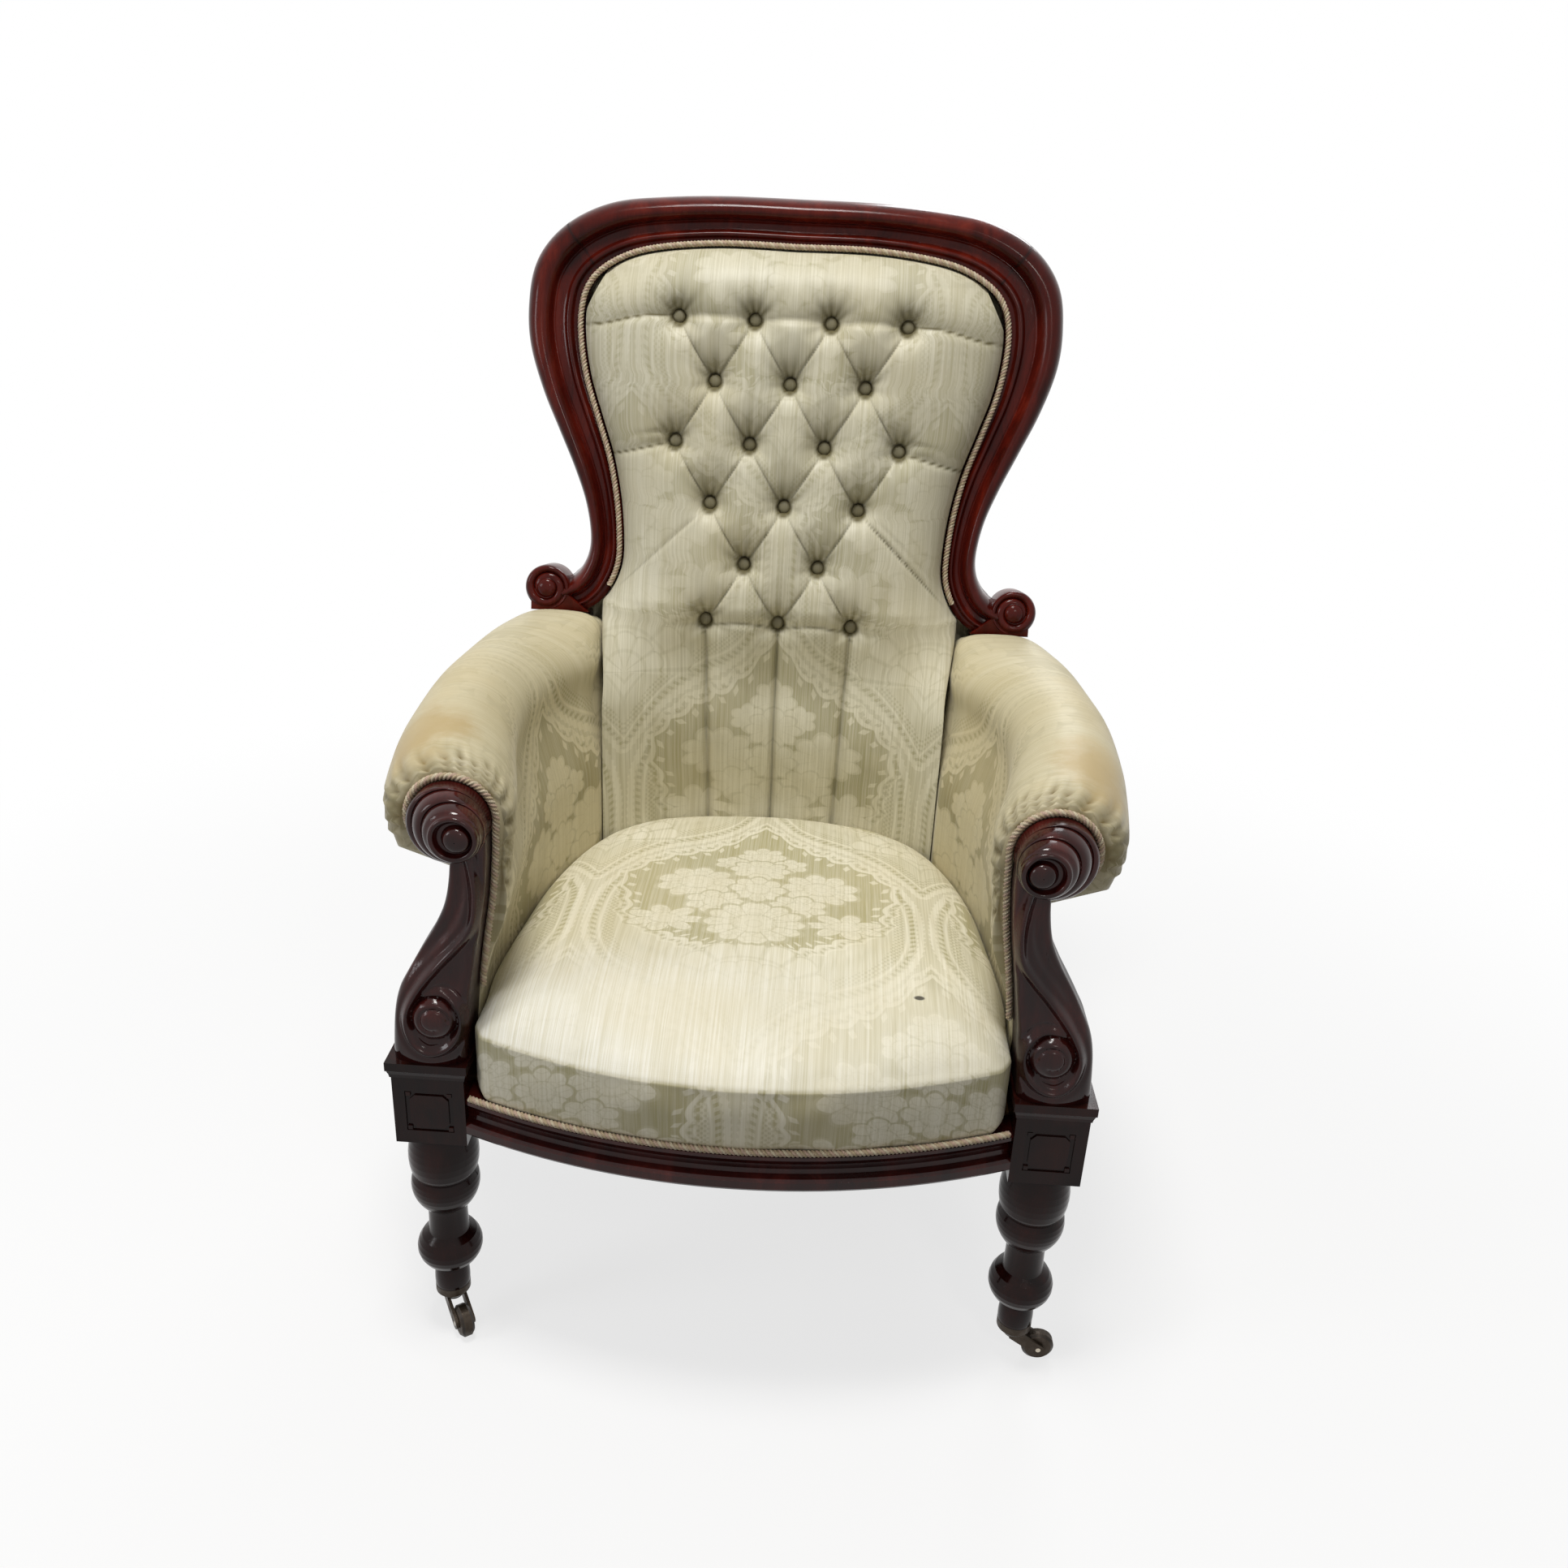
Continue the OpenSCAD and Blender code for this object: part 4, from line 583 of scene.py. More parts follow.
def pull_at(x, z):
    """How far buttons, pleats and channels draw the front in at a place, and how much painted shade lies
    there
    """
    x, z = np.broadcast_arrays(np.asarray(x, float), np.asarray(z, float))
    # Places in the pattern: a in half steps of the buttons from the middle, b in rows from the lowest
    a, b = np.abs(x) / HALF_DX, (z - TUFT_Z) / BUTTON_DZ
    edge = interp(np.clip(b, 0, TUFT_ROWS), TUFT_EDGE)
    beyond = np.where(a <= edge, 1, np.maximum(0, 1 - 1.6 * (a - edge)))
    inside = np.where((b < 0) | (b > TUFT_ROWS), 0, beyond)
    wave1, wave2 = np.abs(np.sin(math.pi / 2 * (a - b))), np.abs(np.sin(math.pi / 2 * (a + b)))
    pillow = 1 - (wave1 * wave2) ** 0.5
    within = (a <= edge + 0.03) & (b > -0.02) & (b < TUFT_ROWS + 0.02)
    crease = np.maximum(fade(wave1, 0.045), fade(wave2, 0.045)) * within
    # The roll along the top folds under, and its fold runs on to the frame
    past = 3 * np.sin((a - 3) * 2.2) - 1.6 * np.maximum(a - 3, 0) ** 2
    arch = np.where(a < 3, 4 * np.abs(np.cos(math.pi / 2 * a)), past)
    line = z - (TUFT_Z + TUFT_ROWS * BUTTON_DZ + arch)
    on_top = b > TOP_ROLL
    roll_fold = fold_under(line, 6.5, 17, 3.2) * on_top
    # thread: a line of painted shade along each fold
    thread = fade(line, CREASE_SHADE_WIDE) * (a > 3) * on_top
    lines = np.abs(a - np.where(a > 2, 3.02, 1.0))
    drawn = 1.3 * fade(lines * HALF_DX, 4) * (line > 0) * on_top * np.exp(-np.abs(line) / 30)
    # A pleat from each outer button of the third row to the frame, with a wrinkle over it
    out = ease((a - 2.75) / 0.5)
    line = (b - 3) * BUTTON_DZ + 9 * np.maximum(a - 3, 0) ** 1.3
    wrinkle = 1.6 * fade(line - 12 - 4 * (a - 3), 2.2) * fade(a - 3.5, 0.5)
    side_fold = out * (fold_under(line, 6.0, 13, 3.0) + wrinkle)
    thread = np.maximum(thread, out * fade(line, CREASE_SHADE_WIDE))
    # Between the lowest buttons the cloth ends in the rounded tops of the channels
    arch = -13 + 15 * np.sqrt(np.clip(1 - (a - 1) ** 2, 0, 1)) + np.where(a > 2, 9 * ease((a - 2) / 0.9), 0)
    line = z - (TUFT_Z + arch)
    finger = fold_under(line, 4.0, 11, 3.4) * ease((3.1 - a) / 0.9) * (b < 0.9)
    thread = np.maximum(thread, 0.7 * fade(line, CREASE_SHADE_WIDE) * (a < 2.1) * (b < 0.3))
    channel = channels(a, b)
    fold, fold_shade = side_folds(x, a, b)
    thread = np.maximum(thread, fold_shade)
    dips, gather, shade = button_pulls(x, b)
    deep = np.maximum.reduce([5.5 * inside * pillow, roll_fold, side_fold, channel, finger, fold])
    deep = deep + 1.6 * crease + drawn + (BUTTON_PULL - deep) * dips + 0.9 * gather * (1 - dips)
    # Painted shade: fans and rings round the buttons, creases, lines along the folds, the hollows of folds,
    # channels and finger tops, and a little over all above the lowest buttons
    painted_shade = np.maximum(shade, 0.34 * crease + 0.8 * thread + 0.1 * drawn)
    painted_shade = painted_shade + 0.035 * (roll_fold + side_fold) * (1 - dips)
    painted_shade = painted_shade + 0.035 * finger + 0.035 * np.maximum(channel - 7, 0) + 0.1 * ease((b + 0.4) / 1.2)
    return deep, painted_shade


def pad_front(x, z, rise=0.0):
    """The buttoned front, seen from the side; rise runs from the top buttons to the crest"""
    x, z, rise = np.broadcast_arrays(np.asarray(x, float), z, rise)
    p = np.minimum(1, np.abs(x) / pad_edge(np.minimum(z, corner[1])))
    full = np.sqrt(np.clip(1 - p ** 3.6, 0, 1)) * np.sqrt(np.clip(1 - rise ** 2.5, 0, 1))
    high = face_y(np.maximum(z, SCROLL_Z)) + CLOTH_T - (BACK_PUFF + CLOTH_T) * full
    swell = np.sin(math.pi * np.clip((z - SEAT_H) / (TUFT_Z - SEAT_H), 0, 1)) ** 1.6
    behind = interp(np.minimum(np.abs(x), SEAT_HALF), seat_y_table) + SOFT_GAP * (1 + 2 * p * p)
    low = behind - LOW_PUFF * swell * (1 - p ** 4)
    w = ease((z - WRAP_FROM) / (SCROLL_Z - WRAP_FROM))
    dip = pull_at(x, z)[0] * (1 - p ** 6) * (1 - rise * rise)
    soft = (0.9 * noise2(x, z, 21, 90) + 0.5 * noise2(x, z, 22, 37)) * (1 - p ** 4) * (1 - rise)
    soft = soft + 13 * (1 - w) * np.clip((p - 0.86) / 0.14, 0, 1) ** 2
    return mix(low, high, w) + dip + soft


def rear_y(z):
    """Rear of the back legs, and of the frame above them"""
    up = np.clip((z - RAIL_TOP) / (FOOT_TOP - RAIL_TOP), 0, 1)
    low = mix(HIP_Y + HIP_HALF, face_y(FOOT_TOP) + REAR_T, up)
    return np.where(z < FOOT_TOP, low, face_y(z) + REAR_T)


def make_back():
    top_z = TUFT_Z + TUFT_ROWS * BUTTON_DZ
    sub = 24
    tufted = TUFT_Z + np.arange(TUFT_ROWS * sub + 1) * BUTTON_DZ / sub
    zs = np.r_[np.linspace(RAIL_TOP, TUFT_Z, 120)[:-1], tufted]
    rises = np.r_[np.zeros(len(zs)), 1 - (1 - np.linspace(0, 1, 44)[1:]) ** 1.6]
    zs = np.r_[zs, np.full(43, top_z)]
    inner = np.arange(-3 * sub, 3 * sub + 1) * (HALF_DX / sub)
    rows = []
    out = 1 - (1 - np.linspace(0, 1, 40)[1:]) ** 1.5
    for z, rise in zip(zs, rises):
        edge = float(pad_edge(z))
        outer = mix(HALF_DX * 3, edge, out)
        xs = np.r_[-outer[::-1], inner, outer] * mix(1, corner[0] / edge, rise)
        zz = mix(z, top_limit(np.abs(xs)), rise)
        rows.append(np.stack([xs, pad_front(xs, zz, rise), zz], 1))
    rows = np.array(rows)
    du = np.linalg.norm(np.diff(rows, axis=1), axis=2)
    u = np.concatenate([np.zeros((len(rows), 1)), np.cumsum(du, axis=1)], 1)
    u -= u[:, u.shape[1] // 2][:, None]
    dv = np.linalg.norm(np.diff(rows, axis=0), axis=2)
    v = np.concatenate([np.zeros((1, rows.shape[1])), np.cumsum(dv, axis=0)], 0)
    level = mix(v, v[:, v.shape[1] // 2][:, None], 0.85)
    cloth = cloth_at(mix(u, rows[..., 0], 0.85), level)
    n, m = rows.shape[:2]
    rear = rows.copy()[:, [0, -1]]
    rear[..., 1] = rear_y(rear[..., 2]) - SOFT_GAP
    full = np.concatenate([rows, rear[:, ::-1]], 1)
    cloth = np.concatenate([cloth, cloth[:, [-1, 0]]], 1)
    painted_shade = np.concatenate([pull_at(rows[..., 0], rows[..., 2])[1], np.zeros((n, 2))], 1)
    edge_share = np.abs(rows[..., 0]) / pad_edge(np.minimum(rows[..., 2], corner[1]))
    # Painted shade along the cover's sides, by the frame and the arms
    painted_shade[:, :m] += 0.12 * np.clip(edge_share, 0, 1) ** 14
    o = build("back_cover", full, closed_faces(n, m + 2), cloth=cloth * MM, painted_shade=painted_shade)
    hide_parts("back_upholstery")


# A button's radius and height, from its foot to its crown
BUTTON_PROFILE = [
    (0, 0.2), (BUTTON_R * 0.7, 2.5), (BUTTON_R * 0.93, 4.2), (BUTTON_R * 1.0, 5.6), (BUTTON_R * 0.97, 6.8),
    (BUTTON_R * 0.84, 8.0), (BUTTON_R * 0.6, 9.0), (BUTTON_R * 0.3, 9.6), (0.02, 9.8)]


def make_buttons():
    p = Parts()
    rings, around = 26, 28
    prof = along(BUTTON_PROFILE, np.linspace(0, 1, rings))
    th = circle(around)
    pleat = 1 + 0.012 * np.cos(9 * th)
    flat = np.array([np.stack([r * np.cos(th) * pleat, np.full(around, -h), r * np.sin(th) * pleat], 1)
                     for r, h in prof])
    for i, j in BUTTONS:
        for side in ((-1, 1) if i else (1,)):
            x, z = side * i * HALF_DX, TUFT_Z + j * BUTTON_DZ
            y = float(pad_front(x, z)) - FIT_GAP
            turned = Matrix.Rotation(0.10 * side * ((i + j) % 3 - 1), 3, "Z")
            tilt = turned @ Matrix.Rotation(-RAKE * 0.7, 3, "X")
            rows = flat @ np.array(tilt).T + [x, y, z]
            cloth = cloth_at(rows[..., 0], rows[..., 2] + 31 * i)
            p.add(rows, grid_faces(rings, around, wrap=True).tolist(), cloth * MM)
    # Painted shade over the buttons, darkest at their foot
    rim = np.tile(np.repeat(np.clip(1.25 - prof[:, 1] / 22.0, 0.84, 1), around), len(p.v))
    o = build("covered_buttons", p.verts(), p.f, cloth=np.vstack(p.cloth), painted_shade=rim)
    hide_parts("back_buttons")


# Arms

# Rows along an arm: place, swell of the inner wall, reach and radius of the roll, and how far it fills in
ARM_SHARE = [
    (0, 1, .89, .8, 0), (.012, 1, .916, .91, 0), (.035, 1, .936, .97, 0), (.09, .95, .956, 1, 0),
    (.2, .75, .977, .96, 0), (.3, .5, .992, .92, .05), (.4, .3, 1, .88, .15), (.52, .1, .998, .83, .3),
    (.64, 0, .986, .79, .5), (.76, 0, .965, .755, .75), (.86, 0, .936, .72, .95), (.94, 0, .895, .7, 1),
    (.952, 0, .87, .53, 1), (1, 0, .85, .5, 1)]
ARM_END = HIP_FRONT - FACE_GAP
SWELL_IN, ROLL_FROM, ROLL_TO = 28.0, 205.0, -35.0
ROLL_POINTS = 92
# Length of an arm roll, as its gathers and as its unevenness measure it
ARM_LONG, ARM_LONG_UNEVEN = 446.5, 446.0
# Gathers round the front of the roll: where they start, how far back they reach, how deep they are
GATHER_FROM, GATHER_LONG, GATHER_DEEP = 5, 27, 6.5
NECK_Z, WALL_Z = SUPPORT_Z + ARM_SCROLL_RISE * 0.58, SUPPORT_Z + ARM_SCROLL_RISE * 0.2


def arm_rows(count):
    """Rows of an arm between those of the table, closer together at both ends"""
    last = len(ARM_SHARE) - 1
    fine = []
    for a, b, n in ((0, 3, 26), (3, 11, count), (11, last, 10)):
        u = np.linspace(a / last, b / last, n)
        fine.append(along(ARM_SHARE, u)[(1 if fine else 0):])
    rows = np.vstack(fine)
    rows[:, 0] = np.maximum.accumulate(np.clip(rows[:, 0], 0, 1))
    return rows


def arm_y(s):
    """Place of a share of an arm's length"""
    return mix(ARM_FRONT + FACE_GAP, ARM_END, s)


def arm_inner(y):
    """Where an arm's inner wall stands clear of seat and back"""
    return max(BACK_HALF, SEAT_HALF if y < 0 else float(interp(y, seat_x_table))) + SOFT_GAP


def roll(s):
    """Radius and centre of an arm's roll"""
    r = s[3] * ARM_R
    return r, s[2] * HALF_SPAN - r, ARM_Z + ARM_RISE * min(1, s[0])


def wall_points(s):
    """Outline of an arm's outside, from the roll down to the rail"""
    r, rx, rz = roll(s)
    wall = mix(LEG_X + HALF_BLOCK * 0.52, REAR_X + LEG_WIDE / 2 + FIT_GAP, s[0])
    neck = min(wall, rx - r * 0.12)
    knee = (mix(neck, wall, 0.6), mix(NECK_Z, WALL_Z, 0.55))
    return np.array([(neck, rz - r * 0.9), (neck, NECK_Z), knee, (wall, WALL_Z), (wall, RAIL_TOP)])


def arm_section(s):
    """A section through an arm: its place, its inner wall with the roll, and its outside"""
    y = arm_y(s[0])
    x = arm_inner(y)
    r, rx, rz = roll(s)
    gap = s[4] * (rx - r - x)
    inner = resample([(x, RAIL_TOP), (x, SEAT_H), (x - s[1] * SWELL_IN * 0.4, mix(SEAT_H, NECK_Z, 0.5)),
                      (x - s[1] * SWELL_IN, NECK_Z)], 26)
    w = np.radians(np.linspace(ROLL_FROM, ROLL_TO, 64))
    # Towards the back the roll fills out, up to the foot of the frame
    full = 1 - 0.62 * ease((s[0] - 0.78) / 0.2)
    shoulder = (np.cos(w) < 0) & (np.sin(w) > 0)
    across = np.where(shoulder, -np.abs(np.cos(w)) ** full, np.cos(w))
    z = np.where(shoulder, rz + r * np.abs(np.sin(w)) ** full, rz + r * np.sin(w))
    out = rx + r * across + gap * np.minimum(0, across)
    q = np.stack([np.maximum(out, pad_edge(z) + SOFT_GAP), z], 1)
    # Round off the way from the inner wall into the roll
    line = resample(np.vstack([inner, q]), ROLL_POINTS)
    soften(line, 10)
    line[:, 0] = np.maximum(line[:, 0], pad_edge(line[:, 1]) + SOFT_GAP)
    return y, line, resample(wall_points(s), 22)


def off_collar(verts):
    """The same points, kept clear of the leg block and its collar"""
    behind = HALF_BLOCK + COLLAR_BEHIND
    low = (verts[..., 2] < SUPPORT_Z + COLLAR_OVER) & (verts[..., 1] < behind)
    verts[..., 1] = np.where(low, behind, verts[..., 1])
    return verts


def make_arm(side):
    rows = arm_rows(90)
    verts, cloth, painted_shade = [], [], []
    for k, s in enumerate(rows):
        y, line, out = arm_section(s)
        sec = np.vstack([line, out])
        r, rx, rz = roll(s)
        # Gathers round the front of the roll, where the cloth is drawn in to the scroll
        ang = np.arctan2(sec[:, 1] - rz, sec[:, 0] - rx)
        near = math.exp(-(max(s[0] * ARM_LONG - GATHER_FROM, 0) / GATHER_LONG) ** 1.5)
        on_roll = ease((sec[:, 1] - NECK_Z - 5) / 25)
        bend = 11 * ang + 1.3 * np.sin(3 * ang) + 3 * s[0]
        fold = np.abs(np.sin(bend)) ** 0.8
        reach = np.clip(1.15 + 0.5 * np.sin(2.7 * bend + 1) - 1.2 * (1 - near), 0, 1)
        pull = near * on_roll * GATHER_DEEP * (fold - 0.6) * reach
        # Painted shade in the hollows of the gathers, and a little over the front of the roll
        painted_shade.append(near ** 0.7 * on_roll * reach * (1.1 * (1 - fold) ** 1.6 + 0.14))
        d = sec - np.array([rx, rz])
        n = np.linalg.norm(d, axis=1)[:, None]
        sec = sec + d / np.maximum(n, 1) * pull[:, None] * (n > 12)
        # A soft unevenness, on the cloth of the roll and its inner wall alone
        at = np.arange(len(sec))
        wob = 0.8 * noise2(at * 4.0, s[0] * ARM_LONG_UNEVEN + 0 * sec[:, 0], 31 + side, 110)
        ends = np.minimum(1, np.minimum(s[0], 1 - s[0]) * 12)
        soft = ends * (at < ROLL_POINTS) * ease((sec[:, 1] - SEAT_H - 12) / 30)
        sec = sec - d / np.maximum(n, 1) * (wob * soft)[:, None] * 0.7
        sec[:, 0] = np.maximum(sec[:, 0], pad_edge(sec[:, 1]) + SOFT_GAP)
        verts.append(np.stack([sec[:, 0], np.full(len(sec), y), sec[:, 1]], 1))
        cloth.append(cloth_at(np.full(len(sec), y), arc_length(sec)))
    verts = off_collar(np.array(verts))
    faces = closed_faces(*verts.shape[:2])
    o = build("arm_cover_" + word(side), verts, faces, cloth=np.array(cloth) * MM, painted_shade=painted_shade, side=side)
    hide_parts("arm_pad_" + word(side))


def foot_z(y):
    """Height of the underside of the scrolls' feet"""
    return FOOT_TOP + (BACK_Y - FOOT_DROP * math.sin(RAKE) - y) * LEAN


def make_outside_arm(side):
    verts = []
    wall = REAR_X + LEG_WIDE / 2 + FIT_GAP
    for s in arm_rows(60):
        out = resample(wall_points(s), 40)
        y = arm_y(s[0])
        verts.append(np.stack([out[:, 0] + 0.5 + CLOTH_T * LAY, np.full(40, y), out[:, 1]], 1))
    upright = BACK_Y + (REAR_T - FACE_GAP) * math.cos(RAKE) ** 2 - FOOT_DROP * math.sin(RAKE) - FIT_GAP
    hip_rear = HIP_Y + HIP_HALF - FIT_GAP
    for f in np.linspace(0, 1, 14)[1:]:
        t = np.linspace(0, 1, 40)
        top = mix(HIP_FRONT, upright, f)
        ys = mix(top, mix(HIP_FRONT, hip_rear, f), t)
        zs = mix(foot_z(top) - FACE_GAP, RAIL_TOP, t)
        verts.append(np.stack([np.full(40, wall + 0.5 + CLOTH_T * LAY), ys, zs], 1))
    verts = off_collar(np.array(verts))
    cloth = cloth_at(verts[..., 1], verts[..., 2])
    faces = grid_faces(*verts.shape[:2]).tolist()
    o = build("outside_arm_cloth_" + word(side), verts, faces, cloth=cloth * MM, side=side)
    thicken(o, OUTSIDE_T)
    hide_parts("outside_arm_" + word(side))
    "arm_cover_" + word(side)
    "side_rail_" + word(side)


def make_outside_back():
    line = mould_at(np.linspace(0.88, 0.0, 120), 0.45)
    line[-1, 0] = 0.5
    wide = REAR_X + LEG_WIDE / 2 + FIT_GAP + CLOTH_T
    rows = np.vstack([resample([(wide, RAIL_Z), (wide, FOOT_TOP)], 40), line])
    t = np.linspace(-1, 1, 61)
    verts = []
    for x, z in rows:
        xs = x * np.sign(t) * np.abs(t)
        y = rear_y(z) + FIT_GAP + CLOTH_T * LAY
        up = min(1, max(0, (z - RAIL_Z) / (OVERALL_H - 40 - RAIL_Z)))
        belly = 3.0 * (1 - t ** 2) * math.sin(math.pi * up)
        verts.append(np.stack([xs, y - belly, np.full(61, z)], 1))
    verts = np.array(verts)
    cloth = cloth_at(verts[..., 0], arc_length(verts[:, 30])[:, None] + 0 * verts[..., 0])
    faces = grid_faces(*verts.shape[:2], flip=True).tolist()
    o = build("outside_back_cloth", verts, faces, cloth=cloth * MM)
    thicken(o, OUTSIDE_T)
    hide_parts("outside_back")


# Gimp

# Radius of a cord, over that of each of its three strands
THREE_IN_ONE = 2.155


def twisted(points, name, node, side=1, r=GIMP_R, pitch=11.0, step=0.9, around=18):
    """A cord of three strands laid along a line"""
    third = 2 * math.pi / 3
    p = resample(points, 4000)
    soften(p, 12)
    length = np.linalg.norm(np.diff(p, axis=0), axis=1).sum()
    p = resample(p, int(length / step))
    t = np.gradient(p, axis=0)
    t /= np.linalg.norm(t, axis=1)[:, None]
    out = np.array([0, -1.0, 0])
    a = out - (t @ out)[:, None] * t
    a /= np.linalg.norm(a, axis=1)[:, None]
    b = np.cross(t, a)
    s = np.arange(len(p)) * step
    phi = circle(around)
    rs = r / THREE_IN_ONE
    c = r - rs
    turn = 2 * math.pi * s / pitch
    local = (phi[None, :] - turn[:, None] + math.pi / 3) % third - math.pi / 3
    rad = c * np.cos(local) + np.sqrt(np.maximum(rs ** 2 - (c * np.sin(local)) ** 2, 0))
    rad = np.maximum(rad, r * 0.62)
    strand = np.floor(((phi[None, :] - turn[:, None] + math.pi / 3) % (2 * math.pi)) / third)
    round_it = np.cos(phi)[None, :, None] * a[:, None] + np.sin(phi)[None, :, None] * b[:, None]
    v = p[:, None] + rad[..., None] * round_it
    cloth = np.stack([np.broadcast_to(s[:, None] * MM, rad.shape), strand, local / (math.pi / 3)], -1)
    o = build(name, v, closed_faces(len(p), around, flip=True), cloth=cloth, side=side)
    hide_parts(node)


def make_gimps():
    xs = np.linspace(-1, 1, 200) * (BLOCK_IN - GIMP_R * 1.2)
    line = np.stack([xs, bow_front(xs) + GIMP_R + FIT_GAP, np.full(200, RAIL_TOP + GIMP_R + FIT_GAP)], 1)
    twisted(line, "seat_rope", "seat_gimp")
    us = np.linspace(0.86, 0, 300)
    width = along(back_curve, us)[:, 2]
    q = np.array([mould_at(u, 1 - GIMP_R / w)[0] for u, w in zip(us, width)])
    right = np.stack([q[:, 0], face_y(q[:, 1]) - GIMP_R - FACE_GAP, q[:, 1]], 1)
    twisted(np.vstack([right, (right[:-1] * [-1, 1, 1])[::-1]]), "back_rope", "back_gimp")
    for side in (-1, 1):
        ts = np.linspace(0.2358, 0.92, 80)
        s = along(SUPPORT_SHARE, ts)
        gap, y = GIMP_R + FACE_GAP, ARM_FRONT - GIMP_R
        z = mix(SUPPORT_Z, SUPPORT_TOP, s[:, 0])
        up = np.stack([LEG_X + s[:, 1] * HALF_BLOCK - gap, np.full(80, y), z], 1)
        w = np.radians(np.linspace(180, -20, 80))
        rr = ARM_SCROLL_R + gap
        turn = np.stack([ARM_SCROLL_X + rr * np.cos(w), np.full(80, y), SUPPORT_TOP + rr * np.sin(w)], 1)
        twisted(np.vstack([up, turn]), "arm_rope_" + word(side), "arm_gimp_" + word(side), side=side)


def make_dust_cover():
    edge = 8.0
    wide = BLOCK_IN - edge
    ys = np.linspace(float(bow_front(0)) + edge, HIP_FRONT + 24, 70)
    ts = np.linspace(-1, 1, 71)
    verts = []
    for y in ys:
        if y < HALF_BLOCK + edge:
            d = BOW_Y - (y - edge)
            x = min(wide, math.sqrt(max(0, BOW_R ** 2 - d * d)))
        elif y < HIP_FRONT - edge:
            x = mix(LEG_X, REAR_X, (y - HALF_BLOCK) / (HIP_FRONT - HALF_BLOCK))
        else:
            x = REAR_X - LEG_WIDE / 2 - edge
        xs = ts * max(x, 1)
        along_y = math.sin(math.pi * (y - ys[0]) / (ys[-1] - ys[0])) ** 0.7
        sag = 5.0 * np.clip(1 - ts ** 2, 0, 1) * along_y
        verts.append(np.stack([xs, np.full(71, y), RAIL_Z - 3.2 - sag], 1))
    verts = np.array(verts)
    cloth = cloth_at(verts[..., 0], verts[..., 1])
    faces = grid_faces(*verts.shape[:2], flip=True).tolist()
    o = build("dust_cloth", verts, faces, cloth=cloth * MM)
    thicken(o, DUST_T)
    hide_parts("dust_cover")


make_crest()
for make_pair in (make_stile, make_support):
    for side in (-1, 1):
        make_pair(side)
make_seat()
make_back()
make_buttons()
for make_pair in (make_arm, make_outside_arm):
    for side in (-1, 1):
        make_pair(side)
make_outside_back()
make_gimps()
make_dust_cover()


# Node expressions

class Shader:
    """A material's node tree, with plain formulas turned into nodes"""

    def __init__(self, name):
        self.mat = bpy.data.materials.new(name)
        self.mat.use_nodes = True
        self.tree = self.mat.node_tree
        self.tree.nodes.clear()
        self.out = self.node("ShaderNodeOutputMaterial")
        self.bsdf = self.node("ShaderNodeBsdfPrincipled")
        self.link(self.bsdf.outputs[0], self.out.inputs["Surface"])

    def node(self, kind, **props):
        n = self.tree.nodes.new(kind)
        for k, v in props.items():
            setattr(n, k, v)
        return n

    def link(self, a, b):
        self.tree.links.new(a, b)

    def feed(self, socket, value):
        if isinstance(value, Val):
            self.link(value.s, socket)
        elif hasattr(value, "is_output"):
            self.link(value, socket)
        else:
            socket.default_value = value

    def math(self, op, *args, clamp=False):
        n = self.node("ShaderNodeMath", operation=op, use_clamp=clamp)
        for k, a in enumerate(args):
            self.feed(n.inputs[k], a)
        return Val(self, n.outputs[0])

    def coords(self, attribute=None):
        """Coordinates of the object, or those that an attribute of its mesh holds"""
        if attribute:
            return self.node("ShaderNodeAttribute", attribute_name=attribute).outputs["Vector"]
        return self.node("ShaderNodeTexCoord").outputs["Object"]

    def split(self, vec):
        n = self.node("ShaderNodeSeparateXYZ")
        self.link(vec, n.inputs[0])
        return [Val(self, o) for o in n.outputs]

    def join(self, x, y, z=0.0):
        n = self.node("ShaderNodeCombineXYZ")
        for k, a in enumerate((x, y, z)):
            self.feed(n.inputs[k], a)
        return n.outputs[0]

    def noise(self, vec, scale, detail=3.0, rough=0.5, distort=0.0):
        n = self.node("ShaderNodeTexNoise")
        self.link(vec, n.inputs["Vector"])
        n.inputs["Scale"].default_value = scale
        n.inputs["Detail"].default_value = detail
        n.inputs["Roughness"].default_value = rough
        n.inputs["Distortion"].default_value = distort
        return Val(self, n.outputs["Fac"])

    def smooth(self, x, lo, hi, a=0.0, b=1.0):
        n = self.node("ShaderNodeMapRange", interpolation_type="SMOOTHSTEP")
        self.feed(n.inputs["Value"], x)
        for key, v in (("From Min", lo), ("From Max", hi), ("To Min", a), ("To Max", b)):
            n.inputs[key].default_value = v
        return Val(self, n.outputs[0])

    def blend(self, a, b, f):
        """A colour between two colours, as a socket"""
        n = self.node("ShaderNodeMix", data_type="RGBA", blend_type="MIX")
        self.feed(n.inputs[0], f)
        self.feed(n.inputs[6], a)
        self.feed(n.inputs[7], b)
        return n.outputs[2]

    def ramp(self, x, stops):
        n = self.node("ShaderNodeValToRGB")
        self.feed(n.inputs[0], x)
        r = n.color_ramp
        while len(r.elements) < len(stops):
            r.elements.new(0.5)
        for e, (at, colour) in zip(r.elements, stops):
            e.position, e.color = at, colour
        return n.outputs[0]

    def bump(self, height, distance, strength=1.0):
        n = self.node("ShaderNodeBump")
        n.inputs["Strength"].default_value = strength
        n.inputs["Distance"].default_value = distance
        self.feed(n.inputs["Height"], height)
        self.link(n.outputs[0], self.bsdf.inputs["Normal"])

    def finish(self, **sockets):
        for key, v in sockets.items():
            self.feed(self.bsdf.inputs[key.replace("_", " ")], v)
        return self.mat


class Val:
    """A number in a node tree; each of its methods adds one math node"""

    def __init__(self, sh, socket):
        self.sh, self.s = sh, socket

    def __rsub__(self, o):
        return self.sh.math("SUBTRACT", o, self)

    def clamp(self):
        return self.sh.math("ADD", self, 0.0, clamp=True)


def math_method(op):
    return lambda self, *others: self.sh.math(op, self, *others)


